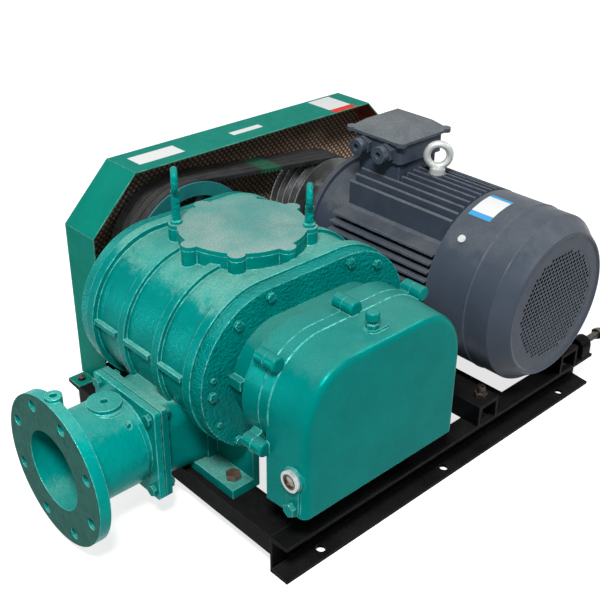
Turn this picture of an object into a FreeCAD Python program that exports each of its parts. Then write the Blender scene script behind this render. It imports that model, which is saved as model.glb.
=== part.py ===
import FreeCAD
import Part
import math
import os
from FreeCAD import Vector

# Rotary lobe blower set: a three-lobe blower, belt-driven by a motor on sliding beams, on a channel base.
# Millimetres. Origin on the floor, at the centre of the four corner foundation bolts.
# +X runs from the blower to the motor, +Y from the timing gears to the belts, +Z up.

# Base frame, rolled channel
rail_height = 80.0
rail_flange = 43.0
rail_web = 5.0
rail_flange_thick = 8.0
rail_taper = 2.0
rail_back_y = 300.0
base_left = -464.0
base_right = 448.0
foundation_x = 365.0
foundation_mid_x = -28.0
foundation_hole_d = 18.0
foundation_gauge = 23.0
cross_width = 68.0
cross_depth = 40.0
cross_thick = 5.0
motor_cross_x = 144.0

# Blower casing
blower_x = -263.0
rotor_height = 318.0
rotor_spacing = 156.0
lobes = 3
rotor_gap = 0.45
bore_gap = 0.35
chamber_length = 310.0
end_gap = 0.4
body_spacing = 180.0
body_r = 146.0
flange_r = 158.0
flange_thick = 20.0
rib_r = 154.0
rib_width = 18.0
rib_pitch = 102.0
ledge_height = 9.0
ledge_gap = 12.0

# Inlet on top
inlet_bore = 150.0
inlet_ring_r = 118.0
inlet_pcd = 240.0
inlet_lobes = 8
inlet_lobe_r = 15.5
inlet_hole_d = 17.0
inlet_hole_depth = 34.0
inlet_root = 30.0
inlet_cover_thick = 8.0
lifting_eye_d = 16.0
lifting_eye_tops = (603.0, 579.0)
lifting_eye_turns = (-35.0, -44.0)
lifting_ring_r = 19.0
lifting_wire_r = 6.5

# Outlet duct and feet
duct_half = 93.5
duct_flange_thick = 13.0
duct_bolt_half = 77.0
duct_bolt_d = 12.0
duct_stud_end = 14.0
duct_flange_x = -528.0
duct_hood_half = 82.0
duct_corner_r = 56.0
duct_passage_r = 60.0
duct_wall = 13.0
chest_half_y = 84.0
chest_rise = 8.0
chest_right_x = -182.0
foot_over = 5.0
foot_width = 50.0
foot_thick = 19.0
foot_offset = 162.0
foot_bolt_y = 156.0
foot_bolt_d = 16.0
foot_web_near = 22.0
foot_web_far = 37.0
foot_web_room = 4.0

# Round outlet piece with its non-return flap
outlet_face_x = -692.0
outlet_bore = 150.0
outlet_flange_d = 285.0
outlet_pcd = 240.0
outlet_holes = 8
outlet_hole_d = 22.0
outlet_flange_thick = 22.0
outlet_body_r = 87.0
outlet_neck_r = 80.0
outlet_neck_length = 12.0
gasket_thick = 2.0
pad_x = -581.0
pad_r = 31.0
pad_top = 93.0
pad_hole_d = 14.0
lug_r = 15.0
lug_x = -674.0
lug_hole_d = 13.0
flap_seat_x = -556.0
flap_seat_r = 62.0
flap_r = 67.0
flap_thick = 9.0
flap_pin_d = 10.0
flap_pin_z = 66.0
flap_pin_back = 15.0
pin_room = 10.0

# End plates, bearings, shafts
plate_r = 153.0
plate_thick = 25.0
plate_bolt_pcr = (138.7, 140.6, 142.9, 143.3, 146.0, 148.7)
plate_bolt_turns = (96.5, 127.5, 169.0, 181.3, 207.0, 232.6)
plate_bolt_sizes = (10.0, 10.0, 6.0, 10.0, 6.0, 10.0)
hub_r = 62.0
hub_reach = 20.0
bearing_od = 100.0
bearing_bore = 45.0
bearing_width = 25.0
running_gap = 0.05
rotor_shaft_d = 52.0
gear_seat_d = 42.0
drive_end_d = 42.0

# Timing gears
gear_teeth = 26
gear_face = 38.0
gear_backlash = 0.35
gear_hub_r = 34.0
pressure_angle = 20.0
gear_spacer = 4.0
nut_thick = 10.0
slinger_r = 92.0
slinger_thick = 3.0

# Gear case and cover
case_r = 116.0
case_neck_r = 98.0
case_neck_length = 45.0
case_wall = 9.0
case_depth = 86.0
case_lug_depth = 30.0
case_lug_reach = 9.0
cover_front_r = 109.0
cover_depth = 104.0
cover_edge_r = 14.0
sump_step = 17.0
joint_groove = 1.2
boss_r = 14.0
boss_back = 21.0
boss_front = 24.0
boss_edge_r = 4.0
cover_thread = 18.0
boss_side_x = 172.0
boss_side_z = 89.0
boss_top_z = 125.0
boss_low_x = 200.0
boss_low_z = -61.0
sight_y = -345.0
sight_ring_r = 19.5
sight_length = 7.0
sight_lens_r = 13.0
sight_pad_r = 22.0
sight_pad_proud = 4.0
drain_hex = 22.0
drain_pad_r = 15.0
drain_stem_r = 6.0
screw_d = 9.0
breather_x = -273.0
breather_y = -335.0
breather_r = 12.0
breather_neck_r = 7.5
breather_height = 30.0
breather_pad_r = 13.0
breather_pad_proud = 4.0

# Drive end
cover_r = 92.0
drive_cover_depth = 52.0
drive_cover_wall = 9.0
seal_od = 62.0
seal_width = 9.0

# Belt drive, four narrow V-belts
belt_count = 4
belt_pitch = 19.0
belt_top = 16.6
belt_height = 13.0
belt_proud = 2.0
groove_angle = 36.0
groove_gap = 0.3
groove_depth = 17.0
pulley_edge = 12.5
driven_pitch_d = 300.0
driver_pitch_d = 224.0
pitch_drop = 3.5
pulley_front_y = 258.0
pulley_rim = 12.0
driven_spokes = 5
spoke_width = 26.0
spoke_thick = 18.0
pulley_hub_r = 42.0
pulley_hub_length = 70.0

# Motor, frame size 180
motor_x = 213.0
shaft_height = 180.0
foot_span = 279.0
foot_pitch = 279.0
motor_nose = 121.0
shaft_shoulder_y = 225.0
motor_shaft_d = 48.0
motor_shaft_out = 110.0
motor_bolt_d = 14.5
frame_r = 139.0
frame_wall = 9.0
fin_r = 176.0
fin_pitch = 17.0
fin_thick = 4.0
fin_half_top = 105.0
fin_half_side = 100.0
frame_front_y = -190.0
frame_back_y = 166.0
fin_back_y = 94.0
shield_thick = 40.0
shield_nose_r = 70.0
cowl_length = 185.0
cowl_r = 176.0
cowl_face_r = 145.0
cowl_shoulder = 35.0
cowl_wall = 2.0
cowl_screw_d = 8.0
cowl_screw_turn = 46.0
cowl_lug_depth = 44.0
cowl_lug_width = 18.0
motor_foot_thick = 18.0
motor_foot_width = 62.0
motor_foot_inner = 88.0
fan_r = 150.0
fan_blades = 7
fan_width = 42.0
stator_r = 129.6
stator_bore_r = 88.0
core_length = 190.0
air_gap = 0.6
motor_bearing_od = 110.0
motor_bearing_width = 27.0
box_x = 205.0
box_y = 50.0
box_size = 132.0
box_bottom_z = 508.0
box_top_z = 550.0
box_wall = 5.0
lid_size = 148.0
lid_height = 25.0
lid_bevel = 26.0
lid_ear_r = 11.0
neck_size = 112.0
gland_d = 32.0
gland_length = 30.0
gland_pitch = 62.0
gland_bore = 14.0
eye_y = -54.0
eye_z = 523.0
eye_outer_r = 31.0
eye_wire_r = 7.5

# Motor beams, which slide on the base, and their adjusting screws
beam_width = 60.0
beam_height = 47.0
beam_web = 8.0
beam_side = 6.0
beam_end_y = 343.0
slot_width = 18.0
slot_length = 60.0
slot_y = 320.0
clamp_bolt_d = 16.0
clamp_bolt_stick = 26.0
bracket_left = 408.0
bracket_length = 30.0
bracket_width = 40.0
bracket_y = 322.0
adjuster_z = 104.0
adjuster_d = 16.0
adjuster_length = 108.0
adjuster_hex = 24.0

# Belt guard, folded sheet
guard_front_y = 251.0
guard_depth = 100.0
guard_left = -426.0
guard_right = 432.0
guard_top_left = -319.0
guard_top_right = 325.0
guard_shoulder_z = 426.0
guard_top_z = 534.0
guard_sheet = 2.5
guard_foot = 38.0
guard_bolt_d = 10.0
mesh_thick = 2.0
mesh_inset = 2.0
mesh_columns = 10
mesh_rows = 6
mesh_bar = 6.0
mesh_border = 10.0
guard_right_foot = 26.0
guard_notch_gap = 4.0

# Bolt lengths past the seat
foot_bolt_shank = 39.0
motor_bolt_shank = 48.0
guard_bolt_shank = 28.0

# Worked-out values
pitch_r = rotor_spacing / 2
idler_x = blower_x - pitch_r
drive_x = blower_x + pitch_r
roll_r = pitch_r / (2 * lobes)
tip_r = pitch_r + 2 * roll_r - rotor_gap
chamber_r = tip_r + bore_gap
chamber_half = chamber_length / 2
body_straight = chamber_length - 2 * (flange_thick + 17)
plate_face = chamber_half + plate_thick
foot_length = 2 * (plate_face + foot_over)
inlet_face_z = rotor_height + 170
outlet_z = rotor_height - 153
case_lug_z = rotor_height + 14
ledge_z = rotor_height + 14
sight_z = rotor_height - 93
drain_z = rotor_height - 152
cover_bottom_z = rotor_height - 168
chest_bottom_z = rail_height + chest_rise
hub_face = plate_face + hub_reach
bearing_back = hub_face - bearing_width
foundation_y = rail_back_y + foundation_gauge
motor_foot_z = rail_height + beam_height
motor_z = motor_foot_z + shaft_height
foot_x = (blower_x - foot_offset, blower_x + foot_offset)
foot_top_z = rail_height + foot_thick
joint_y = -plate_face - case_depth
case_front_y = joint_y - cover_depth
gear_front_y = -hub_face - gear_spacer - gear_face
nut_front_y = gear_front_y - nut_thick
pulley_width = (belt_count - 1) * belt_pitch + 2 * pulley_edge
pulley_back_y = pulley_front_y + pulley_width
driven_r = driven_pitch_d / 2 + pitch_drop
driver_r = driver_pitch_d / 2 + pitch_drop
motor_end_y = shaft_shoulder_y + motor_shaft_out
foot_hole_y = (shaft_shoulder_y - motor_nose, shaft_shoulder_y - motor_nose - foot_pitch)
cowl_front_y = frame_front_y - cowl_length
beam_x = (motor_x - foot_span / 2, motor_x + foot_span / 2)
guard_back_y = guard_front_y + guard_depth
eye_seat_z = motor_z + fin_r + 1
inlet_cover_z = inlet_face_z + inlet_cover_thick
passage_z = outlet_z
valve_back_x = duct_flange_x - gasket_thick

parts = {}


def box(x0, y0, z0, x1, y1, z1):
    low = Vector(min(x0, x1), min(y0, y1), min(z0, z1))
    return Part.makeBox(abs(x1 - x0), abs(y1 - y0), abs(z1 - z0), low)


def rod(start, axis, radius, length):
    return Part.makeCylinder(radius, length, Vector(*start), Vector(*axis))


def rod_y(x, z, radius, y0, y1):
    return Part.makeCylinder(radius, y1 - y0, Vector(x, y0, z), Vector(0, 1, 0))


def join(shapes):
    whole = shapes[0]
    if len(shapes) > 1:
        whole = whole.fuse(shapes[1:])
    return whole.removeSplitter()


def prism_y(points, y0, y1):
    wire = Part.makePolygon([Vector(x, y0, z) for x, z in points + points[:1]])
    return Part.Face(wire).extrude(Vector(0, y1 - y0, 0))


def prism_x(points, x0, x1):
    wire = Part.makePolygon([Vector(x0, y, z) for y, z in points + points[:1]])
    return Part.Face(wire).extrude(Vector(x1 - x0, 0, 0))


def stadium_wire(cx, cz, spacing, radius, y):
    left = cx - spacing / 2
    right = cx + spacing / 2
    a = Vector(left, y, cz + radius)
    b = Vector(right, y, cz + radius)
    c = Vector(right, y, cz - radius)
    d = Vector(left, y, cz - radius)
    edges = [
        Part.LineSegment(a, b).toShape(),
        Part.Arc(b, Vector(right + radius, y, cz), c).toShape(),
        Part.LineSegment(c, d).toShape(),
        Part.Arc(d, Vector(left - radius, y, cz), a).toShape(),
    ]
    return Part.Wire(edges)


def stadium(cx, cz, spacing, radius, y0, y1):
    face = Part.Face(stadium_wire(cx, cz, spacing, radius, y0))
    return face.extrude(Vector(0, y1 - y0, 0))


def hexagon(centre, axis, flats, length):
    corner = flats / math.sqrt(3)
    points = []
    for k in range(7):
        turn = math.radians(60 * k)
        points.append(Vector(corner * math.cos(turn), corner * math.sin(turn), 0))
    solid = Part.Face(Part.makePolygon(points)).extrude(Vector(0, 0, length))
    solid.Placement = FreeCAD.Placement(Vector(*centre), FreeCAD.Rotation(Vector(0, 0, 1), Vector(*axis)))
    return solid


def hex_bolt(seat, axis, diameter, shank):
    head = hexagon(seat, axis, 1.6 * diameter, 0.65 * diameter)
    stem = rod(seat, [-a for a in axis], diameter / 2, shank)
    return join([head, stem])


def cut(shape, tools):
    return shape.cut(tools).removeSplitter()


def keep(name, shapes):
    """One node: a single solid, or a group of like solids kept apart."""
    group = shapes if isinstance(shapes, list) else [shapes]
    solids = [solid for shape in group for solid in shape.Solids]
    parts[name] = solids[0] if len(solids) == 1 else Part.makeCompound(solids)


# Base frame
def side_rail(side):
    back = rail_back_y
    edge = back + rail_flange
    inner = rail_height - rail_flange_thick
    taper = rail_taper
    outline = [
        (back, 0), (edge, 0), (edge, rail_flange_thick - taper), (back + rail_web, rail_flange_thick + taper),
        (back + rail_web, inner - taper), (edge, inner + taper), (edge, rail_height), (back, rail_height),
    ]
    rail = prism_x([(side * y, z) for y, z in outline], base_left, base_right)
    y = side * foundation_y
    holes = []
    for x in (-foundation_x, foundation_mid_x, foundation_x):
        holes.append(rod((x, y, -1), (0, 0, 1), foundation_hole_d / 2, rail_height / 2))
    for x in beam_x:
        holes.append(slot(x, side * slot_y, rail_height / 2, rail_height + 1))
    if side > 0:
        x, y = guard_foot_bolts()[0]
        holes.append(rod((x, y, rail_height / 2), (0, 0, 1), guard_bolt_d / 2, rail_height))
    return cut(rail, holes)


def slot(x, y, z0, z1):
    reach = (slot_length - slot_width) / 2
    ends = [rod((x + s * reach, y, z0), (0, 0, 1), slot_width / 2, z1 - z0) for s in (-1, 1)]
    return join(ends + [box(x - reach, y - slot_width / 2, z0, x + reach, y + slot_width / 2, z1)])


def cross_member(x):
    half = cross_width / 2
    low = rail_height - cross_depth
    under = rail_height - cross_thick
    outline = [
        (x - half, low), (x - half, rail_height), (x + half, rail_height), (x + half, low),
        (x + half - cross_thick, low), (x + half - cross_thick, under),
        (x - half + cross_thick, under), (x - half + cross_thick, low),
    ]
    return prism_y(outline, -rail_back_y, rail_back_y)


def base_frame():
    keep("front_rail", side_rail(-1))
    keep("rear_rail", side_rail(1))
    left = base_left + cross_width / 2
    middle = blower_x + foot_offset - (left - foot_x[0])
    members = []
    for x in (left, middle + 2 * (left - foot_x[0])):
        holes = []
        for bolt_x in foot_x:
            for y in (-foot_bolt_y, foot_bolt_y):
                holes.append(rod((bolt_x, y, 0), (0, 0, 1), foot_bolt_d / 2, 2 * rail_height))
        members.append(cut(cross_member(x), holes))
    members.append(cross_member(motor_cross_x))
    x, y = guard_foot_bolts()[1]
    bolt_hole = rod((x, y, 0), (0, 0, 1), guard_bolt_d / 2, 2 * rail_height)
    members.append(cut(cross_member(base_right - cross_width / 2), [bolt_hole]))
    keep("cross_members", members)


# Casing with its ribs, inlet flange, outlet duct and feet
def rib(y):
    return stadium(blower_x, rotor_height, body_spacing, rib_r, y - rib_width / 2, y + rib_width / 2)


def ledge(y0, y1):
    bar = box(-2000, y0, ledge_z - ledge_height, 2000, y1, ledge_z)
    return bar.common(stadium(blower_x, rotor_height, body_spacing, rib_r, y0, y1))


def lobed_disc(z0, z1):
    pieces = [rod((blower_x, 0, z0), (0, 0, 1), inlet_ring_r, z1 - z0)]
    for k in range(inlet_lobes):
        x, y = inlet_hole(k)
        pieces.append(rod((x, y, z0), (0, 0, 1), inlet_lobe_r, z1 - z0))
        turn = 360.0 / inlet_lobes * k
        neck = box(0, -inlet_lobe_r, z0, inlet_pcd / 2, inlet_lobe_r, z1)
        neck.rotate(Vector(0, 0, 0), Vector(0, 0, 1), turn)
        neck.translate(Vector(blower_x, 0, 0))
        pieces.append(neck)
    return join(pieces)


def inlet_hole(k):
    turn = math.radians(360.0 / inlet_lobes * k)
    return blower_x + inlet_pcd / 2 * math.cos(turn), inlet_pcd / 2 * math.sin(turn)


def rounded_square_wire(x, half, corner, z_mid):
    points = []
    inner = half - corner
    mid = corner * math.sqrt(0.5)
    edges = []
    for k in range(4):
        turn = math.radians(90 * k)
        c, s = math.cos(turn), math.sin(turn)

        def at(u, v):
            return Vector(x, u * c - v * s, z_mid + u * s + v * c)
        edges.append(Part.LineSegment(at(half, -inner), at(half, inner)).toShape())
        arc = Part.Arc(at(half, inner), at(inner + mid, inner + mid), at(inner, half))
        edges.append(arc.toShape())
    return Part.Wire(edges)


def square_flange(x0, x1):
    wire = rounded_square_wire(x0, duct_half, 6.0, outlet_z)
    plate = Part.Face(wire).extrude(Vector(x1 - x0, 0, 0))
    holes = []
    for sy in (-1, 1):
        for sz in (-1, 1):
            seat = (x0 - 1, sy * duct_bolt_half, outlet_z + sz * duct_bolt_half)
            holes.append(rod(seat, (1, 0, 0), duct_bolt_d / 2, x1 - x0 + 2))
    return plate.cut(holes)


def casing():
    half = body_straight / 2
    taper = chamber_half - flange_thick
    body = [stadium(blower_x, rotor_height, body_spacing, body_r, -half, half)]
    for side in (-1, 1):
        inner = stadium_wire(blower_x, rotor_height, body_spacing, body_r, side * half)
        outer = stadium_wire(blower_x, rotor_height, body_spacing, body_r + 2, side * taper)
        body.append(Part.makeLoft([inner, outer], True, True))
        y0, y1 = sorted((side * taper, side * chamber_half))
        body.append(stadium(blower_x, rotor_height, body_spacing, flange_r, y0, y1))
    steps = [taper]
    for side in (1, -1):
        body.append(rib(side * rib_pitch / 2))
        steps += [side * rib_pitch / 2 + rib_width / 2, side * rib_pitch / 2 - rib_width / 2]
    steps.append(-taper)
    for k in range(0, len(steps), 2):
        body.append(ledge(steps[k + 1] + ledge_gap, steps[k]))
    # Outlet duct, from the square flange to a chest under the casing
    hood = Part.makeLoft([
        rounded_square_wire(duct_flange_x, duct_hood_half, duct_corner_r, outlet_z),
        rounded_square_wire(foot_x[0] + foot_width / 2, chest_half_y, 0.5 * duct_corner_r, chest_bottom_z + chest_half_y),
    ], True, True)
    chest = box(foot_x[0], -chest_half_y, chest_bottom_z, chest_right_x, chest_half_y, rotor_height)
    body += [hood, chest, square_flange(duct_flange_x, duct_flange_x + duct_flange_thick)]
    # Feet, each a long sole with an upright web along its inner edge
    for x, inward in zip(foot_x, (1, -1)):
        sole = box(x - foot_width / 2, -foot_length / 2, rail_height, x + foot_width / 2, foot_length / 2, foot_top_z)
        body.append(sole)
        near = x + inward * foot_web_near
        far = x + inward * foot_web_far
        high = rotor_height - 0.7 * body_r
        low = rotor_height - plate_r - foot_web_room
        body.append(box(near, -chamber_half, rail_height, far, chamber_half, high))
        body.append(box(near, -foot_length / 2, rail_height, far, foot_length / 2, low))
    body.append(lobed_disc(rotor_height + body_r - inlet_root, inlet_face_z))
    whole = join(body)
    # Chamber, ports and holes
    tools = []
    for x in (idler_x, drive_x):
        tools.append(rod_y(x, rotor_height, chamber_r, -chamber_half - 1, chamber_half + 1))
    tools.append(rod((blower_x, 0, rotor_height), (0, 0, 1), inlet_bore / 2, 400))
    tools.append(rod((duct_flange_x - 1, 0, passage_z), (1, 0, 0), duct_passage_r, blower_x - duct_flange_x + 1))
    flare = Part.makeCone(outlet_bore / 2, duct_passage_r, 60, Vector(duct_flange_x, 0, passage_z), Vector(1, 0, 0))
    tools.append(flare)
    port_half = duct_passage_r - 2
    tools.append(box(blower_x - port_half, -port_half, passage_z, blower_x + port_half, port_half, rotor_height))
    for k in range(inlet_lobes):
        x, y = inlet_hole(k)
        tools.append(rod((x, y, inlet_face_z - inlet_hole_depth), (0, 0, 1), inlet_hole_d / 2, 100))
    for y in (-duct_bolt_half, duct_bolt_half):
        for z in (outlet_z - duct_bolt_half, outlet_z + duct_bolt_half):
            tools.append(rod((duct_flange_x, y, z), (1, 0, 0), duct_bolt_d / 2, duct_flange_thick))
            tools.append(rod((duct_flange_x + duct_flange_thick, y, z), (1, 0, 0), duct_bolt_d, duct_stud_end + 2))
    for x in foot_x:
        for y in (-foot_bolt_y, foot_bolt_y):
            tools.append(rod((x, y, 0), (0, 0, 1), foot_bolt_d / 2, foot_top_z + 1))
            tools.append(rod((x, y, foot_top_z), (0, 0, 1), foot_bolt_d, foot_bolt_d))
    whole = whole.cut(tools)
    keep("casing", whole)


def inlet_cover():
    plate = lobed_disc(inlet_face_z, inlet_cover_z)
    holes = []
    for k in range(inlet_lobes):
        x, y = inlet_hole(k)
        holes.append(rod((x, y, 0), (0, 0, 1), inlet_hole_d / 2, 1000))
    keep("inlet_cover", cut(plate, [holes[k] for k in lifting_lobes()]))


def lifting_lobes():
    return 3, 7


def lifting_eyes():
    eyes = []
    for k, top, turn in zip(lifting_lobes(), lifting_eye_tops, lifting_eye_turns):
        x, y = inlet_hole(k)
        low = inlet_face_z - inlet_hole_depth + 4
        centre = top - lifting_ring_r - lifting_wire_r
        shank = rod((x, y, low), (0, 0, 1), lifting_eye_d / 2, centre - lifting_ring_r - low)
        collar = rod((x, y, inlet_cover_z), (0, 0, 1), 0.7 * lifting_eye_d, 0.4 * lifting_eye_d)
        flat = Vector(math.cos(math.radians(turn)), math.sin(math.radians(turn)), 0)
        ring = Part.makeTorus(lifting_ring_r, lifting_wire_r, Vector(x, y, centre), flat)
        eyes.append(join([shank, collar, ring]))
    keep("lifting_eyes", eyes)


# Rotors and shafts
def lobe_outline(count):
    """Points of one half lobe: an epicycloid tip running into a hypocycloid root."""
    points = []
    half_turn = math.pi / lobes / 2
    for k in range(count + 1):
        t = half_turn * k / count
        s = half_turn - t
        a = (pitch_r + roll_r) / roll_r
        px = (pitch_r + roll_r) * math.cos(s) - roll_r * math.cos(a * s)
        py = (pitch_r + roll_r) * math.sin(s) - roll_r * math.sin(a * s)
        points.append((math.hypot(px, py) - rotor_gap, half_turn - math.atan2(py, px)))
    for k in range(1, count + 1):
        s = half_turn * k / count
        a = (pitch_r - roll_r) / roll_r
        px = (pitch_r - roll_r) * math.cos(s) + roll_r * math.cos(a * s)
        py = (pitch_r - roll_r) * math.sin(s) - roll_r * math.sin(a * s)
        points.append((math.hypot(px, py) - rotor_gap, half_turn + math.atan2(py, px)))
    return points


def rotor(x):
    half = lobe_outline(5)
    step = 2 * math.pi / lobes
    edges = []
    y0 = -chamber_half + end_gap
    for k in range(lobes):
        for mirror in (1, -1):
            span = [Vector(x + r * math.cos(k * step + mirror * a), y0, rotor_height + r * math.sin(k * step + mirror * a))
                    for r, a in half]
            curve = Part.BSplineCurve()
            curve.interpolate(span)
            edges.append(curve.toShape())
    wire = Part.Wire(Part.__sortEdges__(edges))
    length = chamber_length - 2 * end_gap
    solid = Part.Face(wire).extrude(Vector(0, length, 0))
    tools = [rod_y(x, rotor_height, rotor_shaft_d / 2, y0 - 1, y0 + length + 1)]
    core_at = (pitch_r + tip_r) / 2 - roll_r / 2
    for k in range(lobes):
        cx = x + core_at * math.cos(k * step)
        cz = rotor_height + core_at * math.sin(k * step)
        tools.append(rod_y(cx, cz, roll_r * 0.75, y0 - 1, y0 + length + 1))
    return cut(solid, tools)


def shaft(x, y_end):
    seat = bearing_bore / 2
    pieces = [rod_y(x, rotor_height, rotor_shaft_d / 2, -bearing_back, bearing_back)]
    pieces.append(rod_y(x, rotor_height, seat, -hub_face - gear_spacer, bearing_back))
    pieces.append(rod_y(x, rotor_height, gear_seat_d / 2, nut_front_y - slinger_thick - 2, -hub_face))
    pieces.append(rod_y(x, rotor_height, seat, bearing_back, hub_face + 3))
    if y_end > hub_face + 3:
        pieces.append(rod_y(x, rotor_height, drive_end_d / 2, hub_face, y_end))
    return join(pieces)


def bearing(x, z, y, outer_d, bore_d, width):
    """Outer and inner rings joined by a sealed ball race, drawn as one grooved ring."""
    ring = rod_y(x, z, outer_d / 2, y, y + width)
    groove_r = (outer_d + bore_d) / 4
    tools = [rod_y(x, z, bore_d / 2 + running_gap, y - 1, y + width + 1)]
    for y0, y1 in ((y - 1, y + 2), (y + width - 2, y + width + 1)):
        track = rod_y(x, z, groove_r + 7, y0, y1).cut(rod_y(x, z, groove_r - 7, y0, y1))
        tools.append(track)
    return cut(ring, tools)


def end_plate(side):
    y_in = side * chamber_half
    y_out = side * plate_face
    y0, y1 = sorted((y_in, y_out))
    plate = stadium(blower_x, rotor_height, body_spacing, plate_r, y0, y1)
    hubs = []
    tools = []
    for x in (idler_x, drive_x):
        h0, h1 = sorted((y_out, side * hub_face))
        hubs.append(rod_y(x, rotor_height, hub_r, h0 - (1 if side > 0 else 0), h1 + (1 if side < 0 else 0)))
        b0, b1 = sorted((side * bearing_back, side * (hub_face + 1)))
        tools.append(rod_y(x, rotor_height, bearing_od / 2, b0, b1))
        tools.append(rod_y(x, rotor_height, rotor_shaft_d / 2 + running_gap, y0 - 1, y1 + 1))
    for x, z, size in plate_bolts():
        tools.append(rod_y(x, z, size / 2, y0 - 1, y1 + 1))
    return cut(join([plate] + hubs), tools)


def plate_bolts():
    """Centre and size of each bolt, the same round both ends of the plate."""
    places = []
    for reach, turn, size in zip(plate_bolt_pcr, plate_bolt_turns, plate_bolt_sizes):
        dx = reach * math.cos(math.radians(turn))
        dz = reach * math.sin(math.radians(turn))
        places.append((idler_x + dx, rotor_height + dz, size))
        places.append((drive_x - dx, rotor_height + dz, size))
    return places


def blower_inner():
    keep("idler_rotor", rotor(idler_x))
    keep("drive_rotor", rotor(drive_x))
    keep("idler_shaft", shaft(idler_x, hub_face))
    keep("drive_shaft", shaft(drive_x, pulley_back_y - 4))
    keep("gear_end_plate", end_plate(-1))
    keep("drive_end_plate", end_plate(1))
    places = [(x, y) for x in (idler_x, drive_x) for y in (-hub_face, bearing_back)]
    keep("rotor_bearings", [bearing(x, rotor_height, y, bearing_od, bearing_bore, bearing_width) for x, y in places])
    bolts = []
    for side in (-1, 1):
        for x, z, size in plate_bolts():
            bolts.append(hex_bolt((x, side * plate_face, z), (0, side, 0), size, plate_thick))
    keep("end_plate_bolts", bolts)


# Timing gears
def gear(x, phase):
    module = 2 * pitch_r / gear_teeth
    base_r = pitch_r * math.cos(math.radians(pressure_angle))
    outer = pitch_r + module
    root = pitch_r - 1.25 * module
    half_tooth = math.pi / (2 * gear_teeth) - gear_backlash / (2 * pitch_r)

    def flank_angle(r):
        roll = math.sqrt(max((r / base_r) ** 2 - 1, 0))
        return roll - math.atan(roll)
    at_pitch = flank_angle(pitch_r)
    radii = [max(base_r, root) + (outer - base_r) * k / 3 for k in range(4)]
    points = []
    for tooth in range(gear_teeth):
        centre = phase + 2 * math.pi * tooth / gear_teeth
        left = [(root, half_tooth + at_pitch)]
        left += [(r, half_tooth + at_pitch - flank_angle(r)) for r in radii]
        for r, a in left:
            points.append((x + r * math.cos(centre - a), rotor_height + r * math.sin(centre - a)))
        for r, a in reversed(left):
            points.append((x + r * math.cos(centre + a), rotor_height + r * math.sin(centre + a)))
    y0 = gear_front_y
    y1 = y0 + gear_face
    wheel = prism_y(points, y0, y1)
    rim = root - 9
    for a, b in ((y0 - 1, y0 + 8), (y1 - 8, y1 + 1)):
        wheel = wheel.cut(rod_y(x, rotor_height, rim, a, b).cut(rod_y(x, rotor_height, gear_hub_r, a, b)))
    return cut(wheel, [rod_y(x, rotor_height, gear_seat_d / 2, y0 - 1, y1 + 1)])


def timing_gears():
    half_pitch = math.pi / gear_teeth
    keep("idler_timing_gear", gear(idler_x, 0))
    keep("drive_timing_gear", gear(drive_x, half_pitch))
    for x, name in ((idler_x, "idler_gear_nut"), (drive_x, "drive_gear_nut")):
        nut = hexagon((x, gear_front_y, rotor_height), (0, -1, 0), 58, nut_thick)
        keep(name, cut(nut, [rod_y(x, rotor_height, gear_seat_d / 2, nut_front_y - 1, gear_front_y + 1)]))
    y = nut_front_y - slinger_thick
    disc = rod_y(idler_x, rotor_height, slinger_r, y, y + slinger_thick)
    keep("oil_slinger", cut(disc, [rod_y(idler_x, rotor_height, gear_seat_d / 2, y - 1, y + slinger_thick + 1)]))


# Gear case and its deep cover
def cover_wire(r, low, y):
    left = blower_x - pitch_r
    right = blower_x + pitch_r
    z = rotor_height
    slant = r * math.sqrt(0.5)
    low_r = Vector(right + r, y, low)
    low_l = Vector(left - r, y, low)
    path = [
        Part.LineSegment(Vector(left, y, z + r), Vector(right, y, z + r)),
        Part.Arc(Vector(right, y, z + r), Vector(right + slant, y, z + slant), Vector(right + r, y, z)),
        Part.LineSegment(Vector(right + r, y, z), low_r),
        Part.LineSegment(low_r, low_l),
        Part.LineSegment(low_l, Vector(left - r, y, z)),
        Part.Arc(Vector(left - r, y, z), Vector(left - slant, y, z + slant), Vector(left, y, z + r)),
    ]
    return Part.Wire([edge.toShape() for edge in path])


def cover_block(inset, y0, y1):
    """The cover's D-shaped outline, drawn in by the inset, with draft from the joint y1 to the front y0."""
    slope = (case_r - cover_front_r) / cover_depth
    wires = []
    for y in (y0, y1):
        r = case_r - slope * (joint_y - y) - inset
        wires.append(cover_wire(r, cover_bottom_z + inset, y))
    return Part.makeLoft(wires, True, True)


def boss_points():
    points = [(blower_x, rotor_height + boss_top_z)]
    for side in (-1, 1):
        points.append((blower_x + side * boss_side_x, rotor_height + boss_side_z))
        points.append((blower_x + side * boss_low_x, rotor_height + boss_low_z))
    return points


def bosses(y0, y1):
    return [rod_y(x, z, boss_r, y0, y1) for x, z in boss_points()]


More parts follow.
